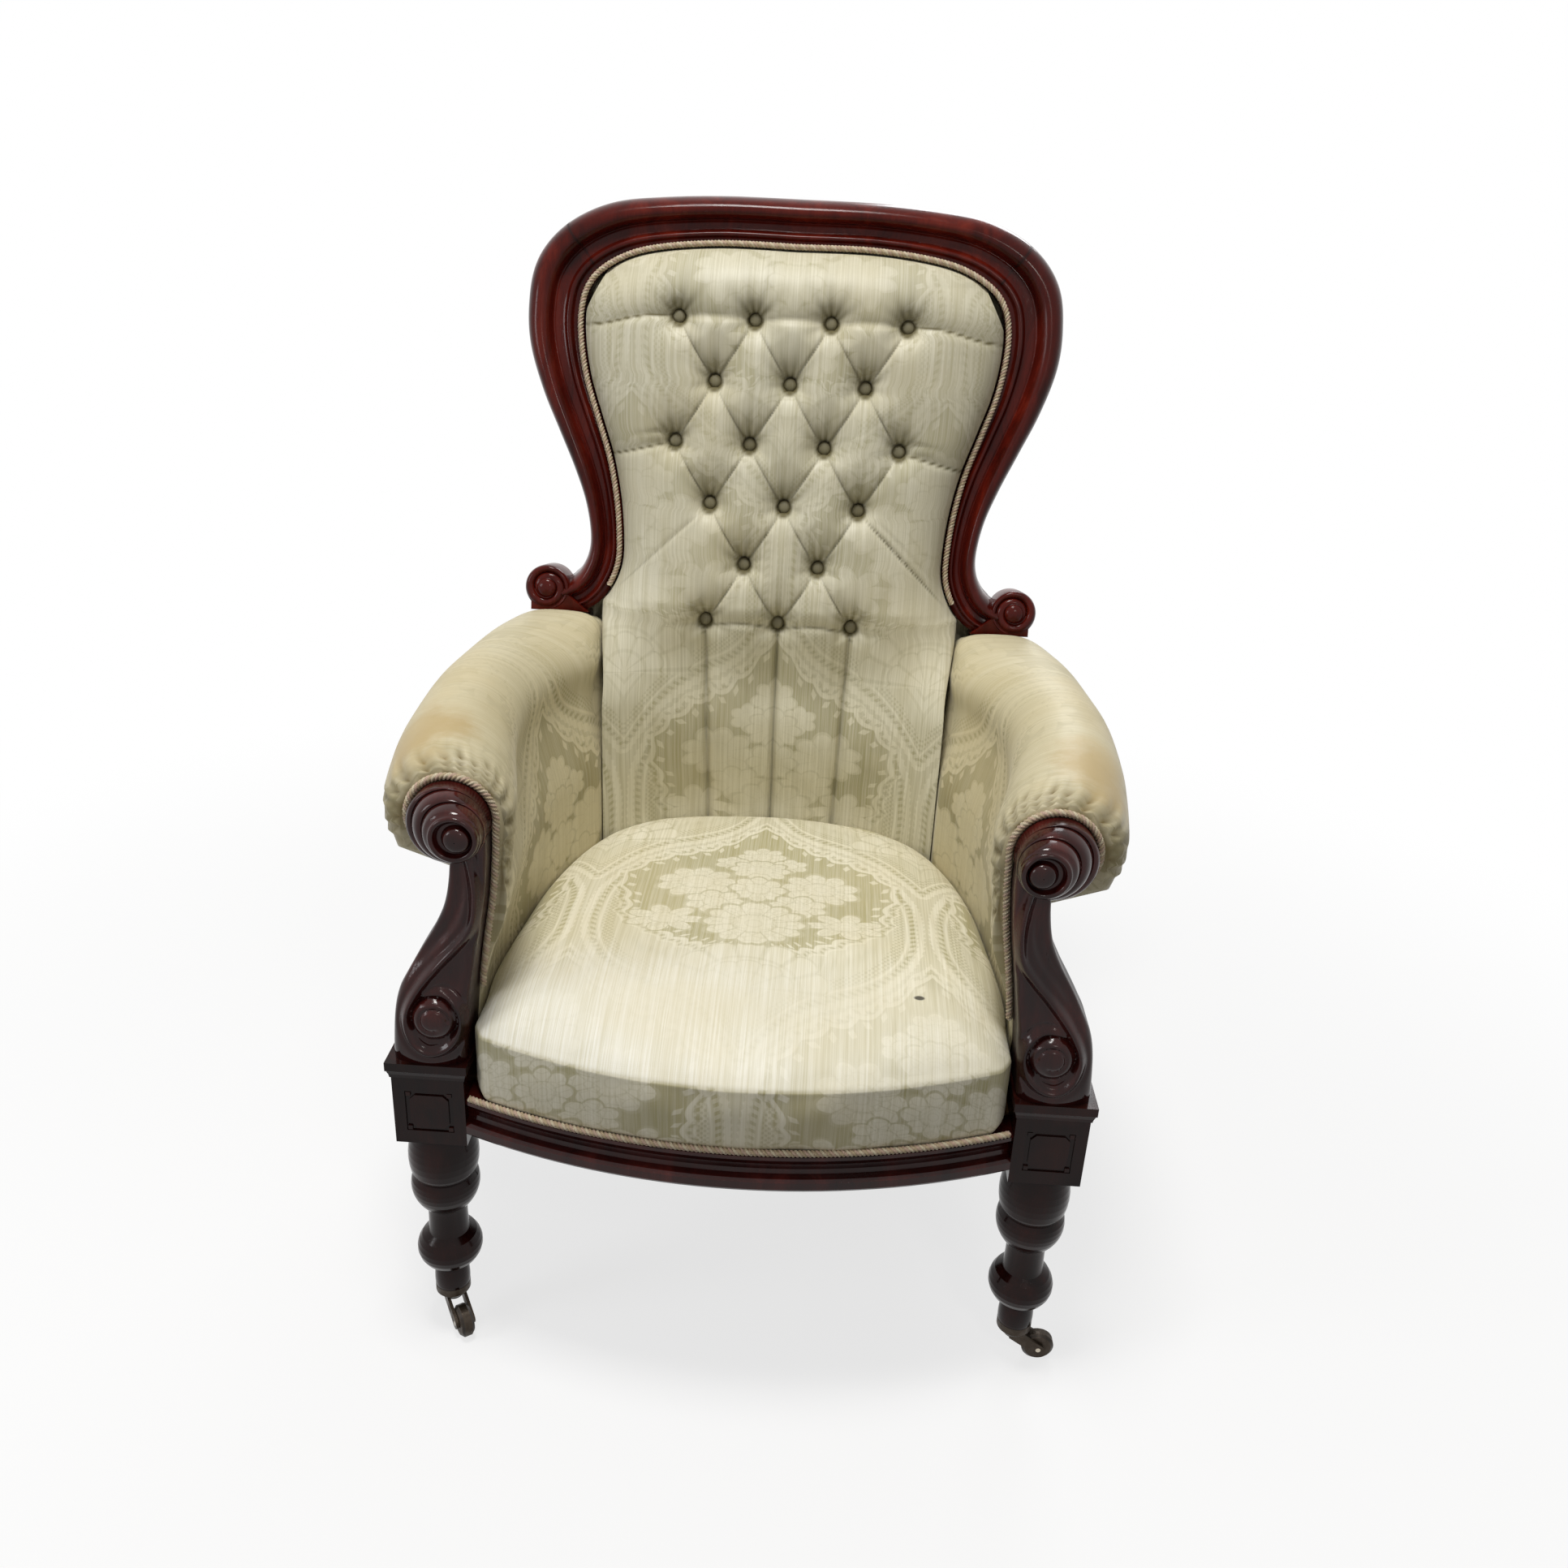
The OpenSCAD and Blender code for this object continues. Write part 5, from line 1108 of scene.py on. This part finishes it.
for method, op in (
        ("__add__", "ADD"), ("__radd__", "ADD"), ("__sub__", "SUBTRACT"), ("__mul__", "MULTIPLY"),
        ("__rmul__", "MULTIPLY"), ("__truediv__", "DIVIDE"), ("__pow__", "POWER"),
        ("abs", "ABSOLUTE"), ("sin", "SINE"), ("cos", "COSINE"), ("sqrt", "SQRT"),
        ("mod", "FLOORED_MODULO"), ("max", "MAXIMUM")):
    setattr(Val, method, math_method(op))


def shade_of(colour, r, g, b):
    """A colour with each of its parts scaled"""
    return (colour[0] * r, colour[1] * g, colour[2] * b, 1)


def rgb(r, g, b):
    """A colour written as a screen shows it, 0 to 255"""
    def lin(c):
        c /= 255
        return c / 12.92 if c <= 0.04045 else ((c + 0.055) / 1.055) ** 2.4
    return (lin(r), lin(g), lin(b), 1.0)


# Wood and metal

def wood(name, dark, mid, light, rough=0.2, gloss=0.3, seed=0.0, wear=0.4):
    sh = Shader(name)
    x, y, z = sh.split(sh.coords())
    figure = sh.noise(sh.join(x * 9.0 + seed, y * 9.0, z * 2.2), 2.6, 4.0, 0.55, 1.2)
    fibre = sh.noise(sh.join(x * 120.0, y * 120.0, z * 14.0 + seed), 3.0, 3.0, 0.6)
    pores = sh.smooth(sh.noise(sh.join(x * 420.0, y * 420.0, z * 40.0), 2.0, 2.0), 0.6, 0.74)
    tone = sh.ramp(figure * 0.8 + fibre * 0.2, [(0.32, dark), (0.52, mid), (0.74, light)])
    point = Val(sh, sh.node("ShaderNodeNewGeometry").outputs["Pointiness"])
    deep = sh.smooth(point, 0.495, 0.43)
    high = sh.smooth(point, 0.52, 0.62)
    tone = sh.blend(tone, shade_of(dark, 0.15, 0.15, 0.15), deep * 0.85)
    worn = high * sh.smooth(sh.noise(sh.coords(), 26.0, 3.0), 0.4, 0.65) * wear
    tone = sh.blend(tone, shade_of(light, 1.4, 1.4, 1.3), worn)
    tone = sh.blend(tone, dark, pores * 0.3)
    grime = sh.noise(sh.coords(), 14.0, 4.0, 0.6)
    r = sh.smooth(grime, 0.3, 0.75, rough - 0.05, rough + 0.12) + deep * 0.3
    sh.bump(fibre * 0.12 + pores * -0.3 + sh.noise(sh.coords(), 34.0, 2.0) * 0.8, 0.0004, 0.3)
    return sh.finish(Base_Color=tone, Roughness=r, Specular_IOR_Level=gloss, IOR=1.5)


mahogany = wood("mahogany_polished", rgb(48, 9, 5), rgb(76, 17, 9), rgb(106, 32, 19),
                rough=0.13, gloss=0.15)
mahogany_deep = wood("mahogany_support", rgb(32, 9, 8), rgb(54, 16, 13), rgb(84, 29, 24),
                     rough=0.12, gloss=0.26, seed=3.1)
mahogany_dark = wood("mahogany_dark", rgb(20, 7, 5), rgb(36, 12, 9), rgb(58, 22, 16),
                     rough=0.13, gloss=0.17, seed=7.7)
beech = wood("beech_bare", rgb(120, 86, 54), rgb(156, 118, 78), rgb(178, 142, 100), rough=0.55, wear=0.1)


def metal(name, base, tint, rough, metallic=1.0, patina=0.5):
    sh = Shader(name)
    o = sh.coords()
    blotch = sh.smooth(sh.noise(o, 90.0, 4.0, 0.6), 0.42, 0.62)
    point = Val(sh, sh.node("ShaderNodeNewGeometry").outputs["Pointiness"])
    rub = sh.smooth(point, 0.51, 0.58) * 0.6
    tone = sh.blend(base, tint, blotch * patina)
    tone = sh.blend(tone, shade_of(base, 2.6, 2.3, 1.8), rub)
    sh.bump(sh.noise(o, 420.0, 3.0), 0.0002, 0.5)
    worn = sh.smooth(blotch, 0.0, 1.0, rough, rough + 0.22)
    return sh.finish(Base_Color=tone, Metallic=metallic, Roughness=worn)


bronze = metal("castor_bronze", rgb(44, 38, 33), rgb(22, 20, 19), 0.38, metallic=0.6)
steel = metal("steel_plain", rgb(150, 150, 150), rgb(96, 90, 84), 0.34, patina=0.4)


def woven(name, warp, weft, pitch, rough=0.9):
    """Plain weave in the piece's own plane"""
    sh = Shader(name)
    x, y = sh.split(sh.coords())[:2]
    a, b = (x / pitch * math.pi).sin(), (y / pitch * math.pi).sin()
    over = sh.smooth(a * b, -0.2, 0.2)
    slub = sh.noise(sh.coords(), 300.0, 2.0)
    tone = sh.blend(sh.blend(warp, weft, over), (0.0, 0.0, 0.0, 1), sh.smooth(slub, 0.45, 0.8) * 0.4)
    sh.bump(a.abs() * 0.5 + b.abs() * 0.5 + slub * 0.4, 0.0005)
    return sh.finish(Base_Color=tone, Roughness=rough)


jute = woven("jute_webbing", rgb(168, 140, 98), rgb(146, 118, 78), 0.002)
hessian = woven("hessian", rgb(150, 124, 84), rgb(128, 104, 70), 0.0016)
black_cloth = woven("black_cloth", rgb(34, 32, 31), rgb(26, 25, 25), 0.0008)


# Gimp and damask

# Length of a turn of the thread in a strand of the gimp, in metres
PLY = 0.0009


def gimp_cord():
    sh = Shader("gimp_cord")
    s, strand, edge = sh.split(sh.coords("cloth"))
    pink, cream, tan = rgb(190, 164, 144), rgb(206, 194, 166), rgb(182, 164, 132)
    first = sh.smooth(strand, 0.4, 0.6)
    second = sh.smooth(strand, 1.4, 1.6)
    tone = sh.blend(sh.blend(cream, pink, first), tan, second)
    ply = (s * (2 * math.pi / PLY) + edge * 3.0).sin()
    # Painted shade in the grooves between the strands
    tone = sh.blend(tone, rgb(104, 84, 62), sh.smooth(edge.abs(), 0.6, 1.0) * 0.6)
    tone = sh.blend(tone, rgb(120, 96, 72), sh.smooth(ply, 0.1, 0.9) * 0.35)
    sh.bump(ply, 0.0002, 0.6)
    return sh.finish(Base_Color=tone, Roughness=0.62, Sheen_Weight=0.15, Sheen_Roughness=0.4)


gimp = gimp_cord()

# The damask's repeat, in millimetres: half its width, and the half drop from one row to the next
REPEAT_HALF, REPEAT_DROP, TIP_V = 171.5, 292.0, -76.0
WAIST = 161.0
# Flowers of the bouquet: place from the centre line and above the waist, radii, petals, scallops' depth
FLOWERS = [
    (0, 190, 24, 22, 8, 0.16), (31, 170, 17, 15, 6, 0.18), (0, 156, 30, 22, 9, 0.14),
    (64, 122, 38, 30, 9, 0.15), (0, 112, 27, 24, 8, 0.14), (42, 82, 28, 20, 7, 0.16),
    (89, 48, 33, 21, 7, 0.36), (0, 46, 48, 36, 13, 0.1)]


# Width of a pick and of a warp thread, and place and half size of the burn on the seat
PICK, WARP = 0.45, 0.32
BURN_AT, BURN_SIZE = (158.0, 27.0), (5.0, 3.0)


def medallion(sh, u, v):
    """Place within a medallion of the half-drop lattice: across, up, and distance from its border"""
    def cell(du, dv):
        p = ((u + du).mod(2 * REPEAT_HALF) - REPEAT_HALF).abs()
        q = (v + dv).mod(2 * REPEAT_DROP) - WAIST
        sway = 10.0 * (p * (2 * math.pi / REPEAT_HALF)).sin()
        roof = (REPEAT_DROP - q - p) * 0.7071 - sway
        keel = (q + REPEAT_HALF - p) * 0.7071 - sway
        d = sh.math("SMOOTH_MIN", sh.math("SMOOTH_MIN", roof, REPEAT_HALF - p, 48.0), keel, 48.0)
        return p, q, d
    a, b = cell(REPEAT_HALF, -TIP_V), cell(0.0, REPEAT_DROP - TIP_V)
    pick = sh.math("GREATER_THAN", b[2], a[2])
    p, q = (a[k] + (b[k] - a[k]) * pick for k in (0, 1))
    return p, q, a[2].max(b[2])


def damask_figure(sh, u, v, detail=1.0):
    """The woven figure: 1 where the pale satin lies on top, 0 on the olive ground"""
    p, q, d = medallion(sh, u, v)

    def band(x, lo, hi, soft=0.9):
        return sh.smooth(x, lo - soft, lo + soft) * (1 - sh.smooth(x, hi - soft, hi + soft))

    roof = sh.smooth(q, 70.0, 150.0)
    step = (q.abs() - p * 0.6) * (2 * math.pi / 9)
    dots = sh.smooth(step.sin(), -0.1, 0.35)
    net = (p * 1.05).sin() * (q * 1.05).sin()
    around = sh.math("ARCTAN2", q - 60.0, p)
    scallop = (around * 17).sin().abs()
    # The olive field: an oval with a pointed top, seen through the lace's scalloped edge
    floor = q - (p * p * 0.0036 - 8.0)
    field = sh.math("SMOOTH_MIN", d - (43.0 - 30.0 * roof), floor * 0.85, 16.0) - 5.0 * scallop
    beads = sh.smooth((around * 102).sin(), -0.15, 0.3)
    # Lace between the border and the field
    figure = 0.6 + 0.4 * band(d - 2.4 * (step * 0.5).sin().abs(), 1.0, 8.0)
    figure = figure - 0.6 * band(d, 11.5, 17.0) * dots
    figure = figure + 0.4 * band(d, 19.0, 21.5) - 0.4 * band(d, 22.5, 34.0, 1.5) * sh.smooth(net, -0.1, 0.3)
    figure = figure + (0.8 - figure) * sh.smooth(d, 46.0, 56.0)
    rim = band(field, -5.0, -0.4)
    figure = figure + (1 - figure) * rim - 0.6 * band(field, -10.5, -6.5) * beads
    figure = figure + 0.35 * band(field, -14.5, -12.0)
    # Below the field, curling leaves
    leaf = ((p * 0.8 - q * 0.35 + 9 * (q * 0.05).sin()) * 0.62).sin()
    figure = figure - 0.3 * sh.smooth(leaf, 0.2, 0.75) * band(d, 46.0, 80.0, 8.0) * sh.smooth(q, 0.0, -14.0)
    sprig = band(field, 2.5, 9.0) * sh.smooth((around * 51).sin(), 0.3, 0.65)
    figure = figure + (0.85 * sprig - figure) * sh.smooth(field, -0.6, 0.6)
    # A shell fans out of the waist
    dy = q + 66.0
    s = (p * p + dy * dy).sqrt()
    fan = sh.math("ARCTAN2", p, dy)
    for lobes, lo, hi, grow in ((7.0, 40.0, 67.0, 8.0), (5.0, 14.0, 36.0, 6.0)):
        lobe = (fan * lobes).cos().abs()
        edge = s - hi - grow * lobe.sqrt()
        tone = 0.95 - 0.4 * sh.smooth(lobe, 0.5, 0.1) - 0.3 * band(s, lo + 7.0, lo + 11.0)
        tone = tone - 0.4 * sh.smooth(edge, -0.6, 1.2)
        figure = figure + (tone - figure) * sh.smooth(edge, 3.4, 2.4) * sh.smooth(fan, 1.75, 1.6)
    cells = sh.node("ShaderNodeTexVoronoi", feature="DISTANCE_TO_EDGE")
    sh.link(sh.join(p * 0.11, q * 0.13), cells.inputs["Vector"])
    cells.inputs["Scale"].default_value = 1.0
    vein = sh.smooth(Val(sh, cells.outputs["Distance"]), 0.11, 0.04)
    for x, y, rx, ry, petals, depth in FLOWERS:
        fx, fy = (p - x) / rx, (q - y) / ry
        far = (fx * fx + fy * fy).sqrt()
        turn = sh.math("ARCTAN2", fy, fx) * (petals / 2)
        lobe = turn.sin().abs() if x else turn.cos().abs()
        edge = far / (1 - depth + 1.6 * depth * lobe)
        cover, inside = sh.smooth(edge, 1.13, 1.07), sh.smooth(edge, 1.02, 0.96)
        gap = sh.smooth(lobe, 0.26, 0.08) * sh.smooth(far, 0.3, 0.5)
        ring = band(far, 0.44, 0.5, 0.03) + band(far, 0.16, 0.2, 0.03)
        tone = 1 - 0.8 * detail
        petal = 0.8 * detail * inside
        drawing = 1 - 0.4 * gap - 0.3 * detail * ring - 0.3 * detail * vein * sh.smooth(far, 0.2, 0.4)
        tone = tone + petal * drawing
        figure = figure + (tone - figure) * cover
    return figure.clamp()


def damask_cloth(name, cream, olive, contrast, shift=(0.0, 0.0), painted_shade=None, marks=()):
    """Silk damask: figure, stripes of the warp, weave, the age it shows, and painted shade and sheen"""
    sh = Shader(name)
    u, v = (c * 1000.0 for c in sh.split(sh.coords("cloth"))[:2])
    wander = sh.noise(sh.join(u * 0.012, v * 0.012), 1.0, 2.0) - 0.5
    detail = 1.0 if name == "damask_seat" else 0.5
    figure = damask_figure(sh, u + wander * 5 + shift[0], v + wander * 5 + shift[1], detail)
    stripe = sh.noise(sh.join(u * 0.5, v * 0.004), 1.0, 3.0, 0.65)
    fine = sh.noise(sh.join(u * 1.7, v * 0.02), 1.0, 2.0, 0.6)
    broad = sh.noise(sh.join(u * 0.09, v * 0.002), 1.0, 1.0)
    glare = 0.0
    if name == "damask_seat":
        # Along its front, where the top faces up, a painted sheen pales the silk and the figure is almost
        # lost
        up = sh.split(sh.node("ShaderNodeNewGeometry").outputs["Normal"])[2]
        y = sh.split(sh.coords())[1]
        glare = sh.smooth(y, -0.13, -0.22) * sh.smooth(up, 0.35, 0.75)
        glare = glare * (0.86 - 0.2 * sh.smooth(u, -60.0, 120.0))
    figure = figure + (0.82 - figure) * glare
    if name == "damask_back":
        z = sh.split(sh.coords())[2]
        contrast = sh.smooth(z, 0.68, 0.5, contrast * 0.85, contrast * 1.45)
    if name == "damask_arms":
        up = sh.split(sh.node("ShaderNodeNewGeometry").outputs["Normal"])[2]
        figure = figure + (0.85 - figure) * sh.smooth(up, 0.05, 0.6) * 0.75
    tone = sh.blend(olive, cream, 0.5 + (figure - 0.5) * contrast)
    streak = sh.smooth(stripe * 0.55 + fine * 0.3 + broad * 0.15, 0.38, 0.62)
    strie = 0.45 if name == "damask_arms" else 1.0
    tone = sh.blend(tone, rgb(250, 248, 236), streak * (0.3 * strie))
    if name == "damask_seat":
        # A painted highlight along the front, strongest on the left
        shine = glare * (0.3 + 0.3 * streak) * sh.smooth(u, 150.0, -150.0, 0.4, 1.0)
        tone = sh.blend(tone, rgb(243, 244, 242), shine)
    tone = sh.blend(tone, shade_of(olive, 0.8, 0.8, 0.74), (1 - streak) * (0.22 * strie))
    pick = (v * (math.pi / PICK)).sin()
    thread = (u * (math.pi / WARP)).sin()
    age = sh.smooth(sh.noise(sh.coords(), 5.0, 4.0, 0.6), 0.42, 0.72)
    tone = sh.blend(tone, shade_of(cream, 0.86, 0.8, 0.66), age * 0.3)
    # Painted shade, from the mesh's attribute
    if painted_shade:
        shade_share = sh.split(sh.coords("painted_shade"))[0]
        tone = sh.blend(tone, painted_shade, shade_share.clamp())
    for at, size, colour, weight in marks:
        x, y, z = sh.split(sh.coords())
        r = ((x.abs() - at[0]) / size[0]) ** 2.0 + ((y - at[1]) / size[1]) ** 2.0
        r = (r + ((z - at[2]) / size[2]) ** 2.0).sqrt()
        blotch = sh.noise(sh.coords(), 22.0, 4.0, 0.6)
        tone = sh.blend(tone, colour, sh.smooth(r + (blotch - 0.5) * 1.3, 1.0, 0.25) * weight)
    if name == "damask_seat":
        # A small burn on the seat
        hole = ((u - BURN_AT[0]) / BURN_SIZE[0]) ** 2.0 + ((v - BURN_AT[1]) / BURN_SIZE[1]) ** 2.0
        tone = sh.blend(tone, rgb(46, 40, 34), sh.smooth(hole.sqrt(), 1.2, 0.7) * 0.9)
    raised = 0.4 if name == "damask_seat" else 0.12
    sh.bump(figure * raised + pick * 0.05 + thread * 0.05 + fine * 0.5, 0.00025, 0.6)
    rough = 0.58 - 0.14 * figure
    return sh.finish(Base_Color=tone, Roughness=rough, Specular_IOR_Level=0.3, Sheen_Weight=0.1,
                     Sheen_Roughness=0.35)


damask_seat = damask_cloth("damask_seat", rgb(237, 231, 208), rgb(176, 168, 124), 0.9)
damask_back = damask_cloth("damask_back", rgb(218, 213, 190), rgb(170, 164, 130), 0.62, shift=(0.0, 40.0),
                           painted_shade=rgb(98, 91, 62))
damask_arms = damask_cloth("damask_arms", rgb(208, 198, 164), rgb(148, 138, 98), 0.8, shift=(60.0, 90.0),
                           painted_shade=rgb(116, 102, 66),
                           # The first mark is painted shade on the arms' inner walls; the other two are
                           # stains
                           marks=[((0.245, -0.3, 0.45), (0.035, 0.5, 0.14), rgb(140, 130, 96), 0.4),
                                  ((0.305, -0.165, 0.612), (0.065, 0.085, 0.06), rgb(178, 156, 108), 0.95),
                                  ((0.325, -0.02, 0.60), (0.06, 0.2, 0.06), rgb(200, 184, 140), 0.45)])


def give(obj, mat):
    obj.data.materials.clear()
    obj.data.materials.append(mat)


def dress(objects, materials):
    """Gives each object the material of the first key that its name holds"""
    for name, obj in objects.items():
        for key, mat in materials.items():
            if key in name:
                give(obj, mat)
                break


dress(pieces, {
    "rope": gimp, "arm_support": mahogany_deep, "carved": mahogany, "dust_cloth": black_cloth,
    "seat_cover": damask_seat, "back_cover": damask_back, "covered_buttons": damask_back,
    "outside_back": damask_back, "arm": damask_arms})
dress(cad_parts, {
    "front_leg": mahogany_dark, "rear_leg": mahogany_dark,
    "front_rail": mahogany_deep, "side_rail": mahogany_deep,
    "back_rail": beech, "corner_blocks": beech, "rail_dowels": beech, "arm_rail": beech,
    "block_screws": steel, "seat_springs": steel, "seat_webbing": jute, "spring_hessian": hessian,
    "castor_axle": steel, "castor": bronze})


# Floor, light and camera

def seen_directly(tree):
    """1 for rays of the camera, of gloss and of glass, 0 for the light that falls on the object"""
    path = tree.nodes.new("ShaderNodeLightPath")
    total = path.outputs["Is Camera Ray"]
    for key in ("Is Glossy Ray", "Is Transmission Ray"):
        n = tree.nodes.new("ShaderNodeMath")
        n.operation, n.use_clamp = "ADD", True
        tree.links.new(total, n.inputs[0])
        tree.links.new(path.outputs[key], n.inputs[1])
        total = n.outputs[0]
    return total


FLOOR_HALF = 6.0


def stage_floor():
    mesh = bpy.data.meshes.new("floor")
    e = FLOOR_HALF
    mesh.from_pydata([(-e, -e, 0), (e, -e, 0), (e, e, 0), (-e, e, 0)], [], [(0, 1, 2, 3)])
    floor = bpy.data.objects.new("floor", mesh)
    bpy.context.scene.collection.objects.link(floor)
    sh = Shader("floor_paper")
    direct = seen_directly(sh.tree)
    x, y = sh.split(sh.coords())[:2]
    far = sh.smooth((x * x + y * y).sqrt(), 0.45, 1.7)
    tone = sh.blend((0.22, 0.22, 0.22, 1), (0.9, 0.9, 0.9, 1), direct)
    sh.finish(Base_Color=tone, Roughness=0.9, Specular_IOR_Level=0.0)
    glow = sh.node("ShaderNodeEmission")
    glow.inputs["Color"].default_value = (1, 1, 1, 1)
    pick = sh.node("ShaderNodeMixShader")
    sh.feed(pick.inputs[0], (0.72 + 0.28 * far) * Val(sh, direct))
    sh.link(sh.bsdf.outputs[0], pick.inputs[1])
    sh.link(glow.outputs[0], pick.inputs[2])
    sh.link(pick.outputs[0], sh.out.inputs["Surface"])
    give(floor, sh.mat)


# Lamps: place, size, power and colour
LAMPS = [
    ("key", (-0.2, -0.45, 3.1), 0.65, 55.0, (1.0, 0.985, 0.96)),
    ("window", (-2.1, -1.1, 1.35), 0.7, 12.0, (0.96, 0.97, 1.0)),
    ("front", (0.75, -2.0, 2.0), 0.35, 6.0, (1.0, 0.95, 0.88)),
    ("rear", (0.6, 2.2, 2.0), 0.9, 14.0, (0.95, 0.97, 1.0))]
# Brightness of the world on the object, and as it is seen directly
WORLD_LIGHT, WORLD_SEEN = 0.2, 1.0
# The camera, solved from the photograph: place in metres, turn in radians, and focal length in pixels
CAMERA_AT, CAMERA_TURN = (0.0479, -1.2446, 1.0598), (-0.0253, 0.4189, 0.0494)
FOCAL_PX, PHOTO_PX, SENSOR_MM = 1635.06, 1932, 36
# Shift of the picture, as a share of its width
CAMERA_SHIFT = (0.00234, 0.00069)
# What the lamps are turned to
LAMPS_AIM = (0, 0, 0.5)


def stage_light():
    world = bpy.data.worlds.new("studio")
    world.use_nodes = True
    t = world.node_tree
    t.nodes.clear()
    out = t.nodes.new("ShaderNodeOutputWorld")
    mix_node = t.nodes.new("ShaderNodeMixShader")
    t.links.new(seen_directly(t), mix_node.inputs[0])
    for slot, strength in ((1, WORLD_LIGHT), (2, WORLD_SEEN)):
        plain = t.nodes.new("ShaderNodeBackground")
        plain.inputs["Color"].default_value = (1, 1, 1, 1)
        plain.inputs["Strength"].default_value = strength
        t.links.new(plain.outputs[0], mix_node.inputs[slot])
    t.links.new(mix_node.outputs[0], out.inputs["Surface"])
    bpy.context.scene.world = world
    for name, at, size, power, colour in LAMPS:
        lamp = bpy.data.lights.new(name, "AREA")
        lamp.energy, lamp.size, lamp.color = power, size, colour
        o = bpy.data.objects.new(name, lamp)
        bpy.context.scene.collection.objects.link(o)
        o.location = at
        o.rotation_euler = (Vector(LAMPS_AIM) - Vector(at)).to_track_quat("-Z", "Y").to_euler()


def stage_camera():
    yaw, pitch, tilt = CAMERA_TURN
    fwd = Vector((math.sin(yaw) * math.cos(pitch), math.cos(yaw) * math.cos(pitch), -math.sin(pitch)))
    right = Vector((math.cos(yaw), -math.sin(yaw), 0))
    up = right.cross(fwd)
    x = math.cos(tilt) * right + math.sin(tilt) * up
    y = -math.sin(tilt) * right + math.cos(tilt) * up
    cam = bpy.data.cameras.new("camera")
    cam.sensor_width = SENSOR_MM
    cam.lens = SENSOR_MM * FOCAL_PX / PHOTO_PX
    cam.shift_x, cam.shift_y = CAMERA_SHIFT
    o = bpy.data.objects.new("camera", cam)
    bpy.context.scene.collection.objects.link(o)
    rows = [(x[k], y[k], -fwd[k], CAMERA_AT[k]) for k in range(3)]
    o.matrix_world = Matrix(rows + [(0, 0, 0, 1)])
    bpy.context.scene.camera = o


stage_floor()
stage_light()
stage_camera()
bpy.context.scene.view_settings.view_transform = "Standard"
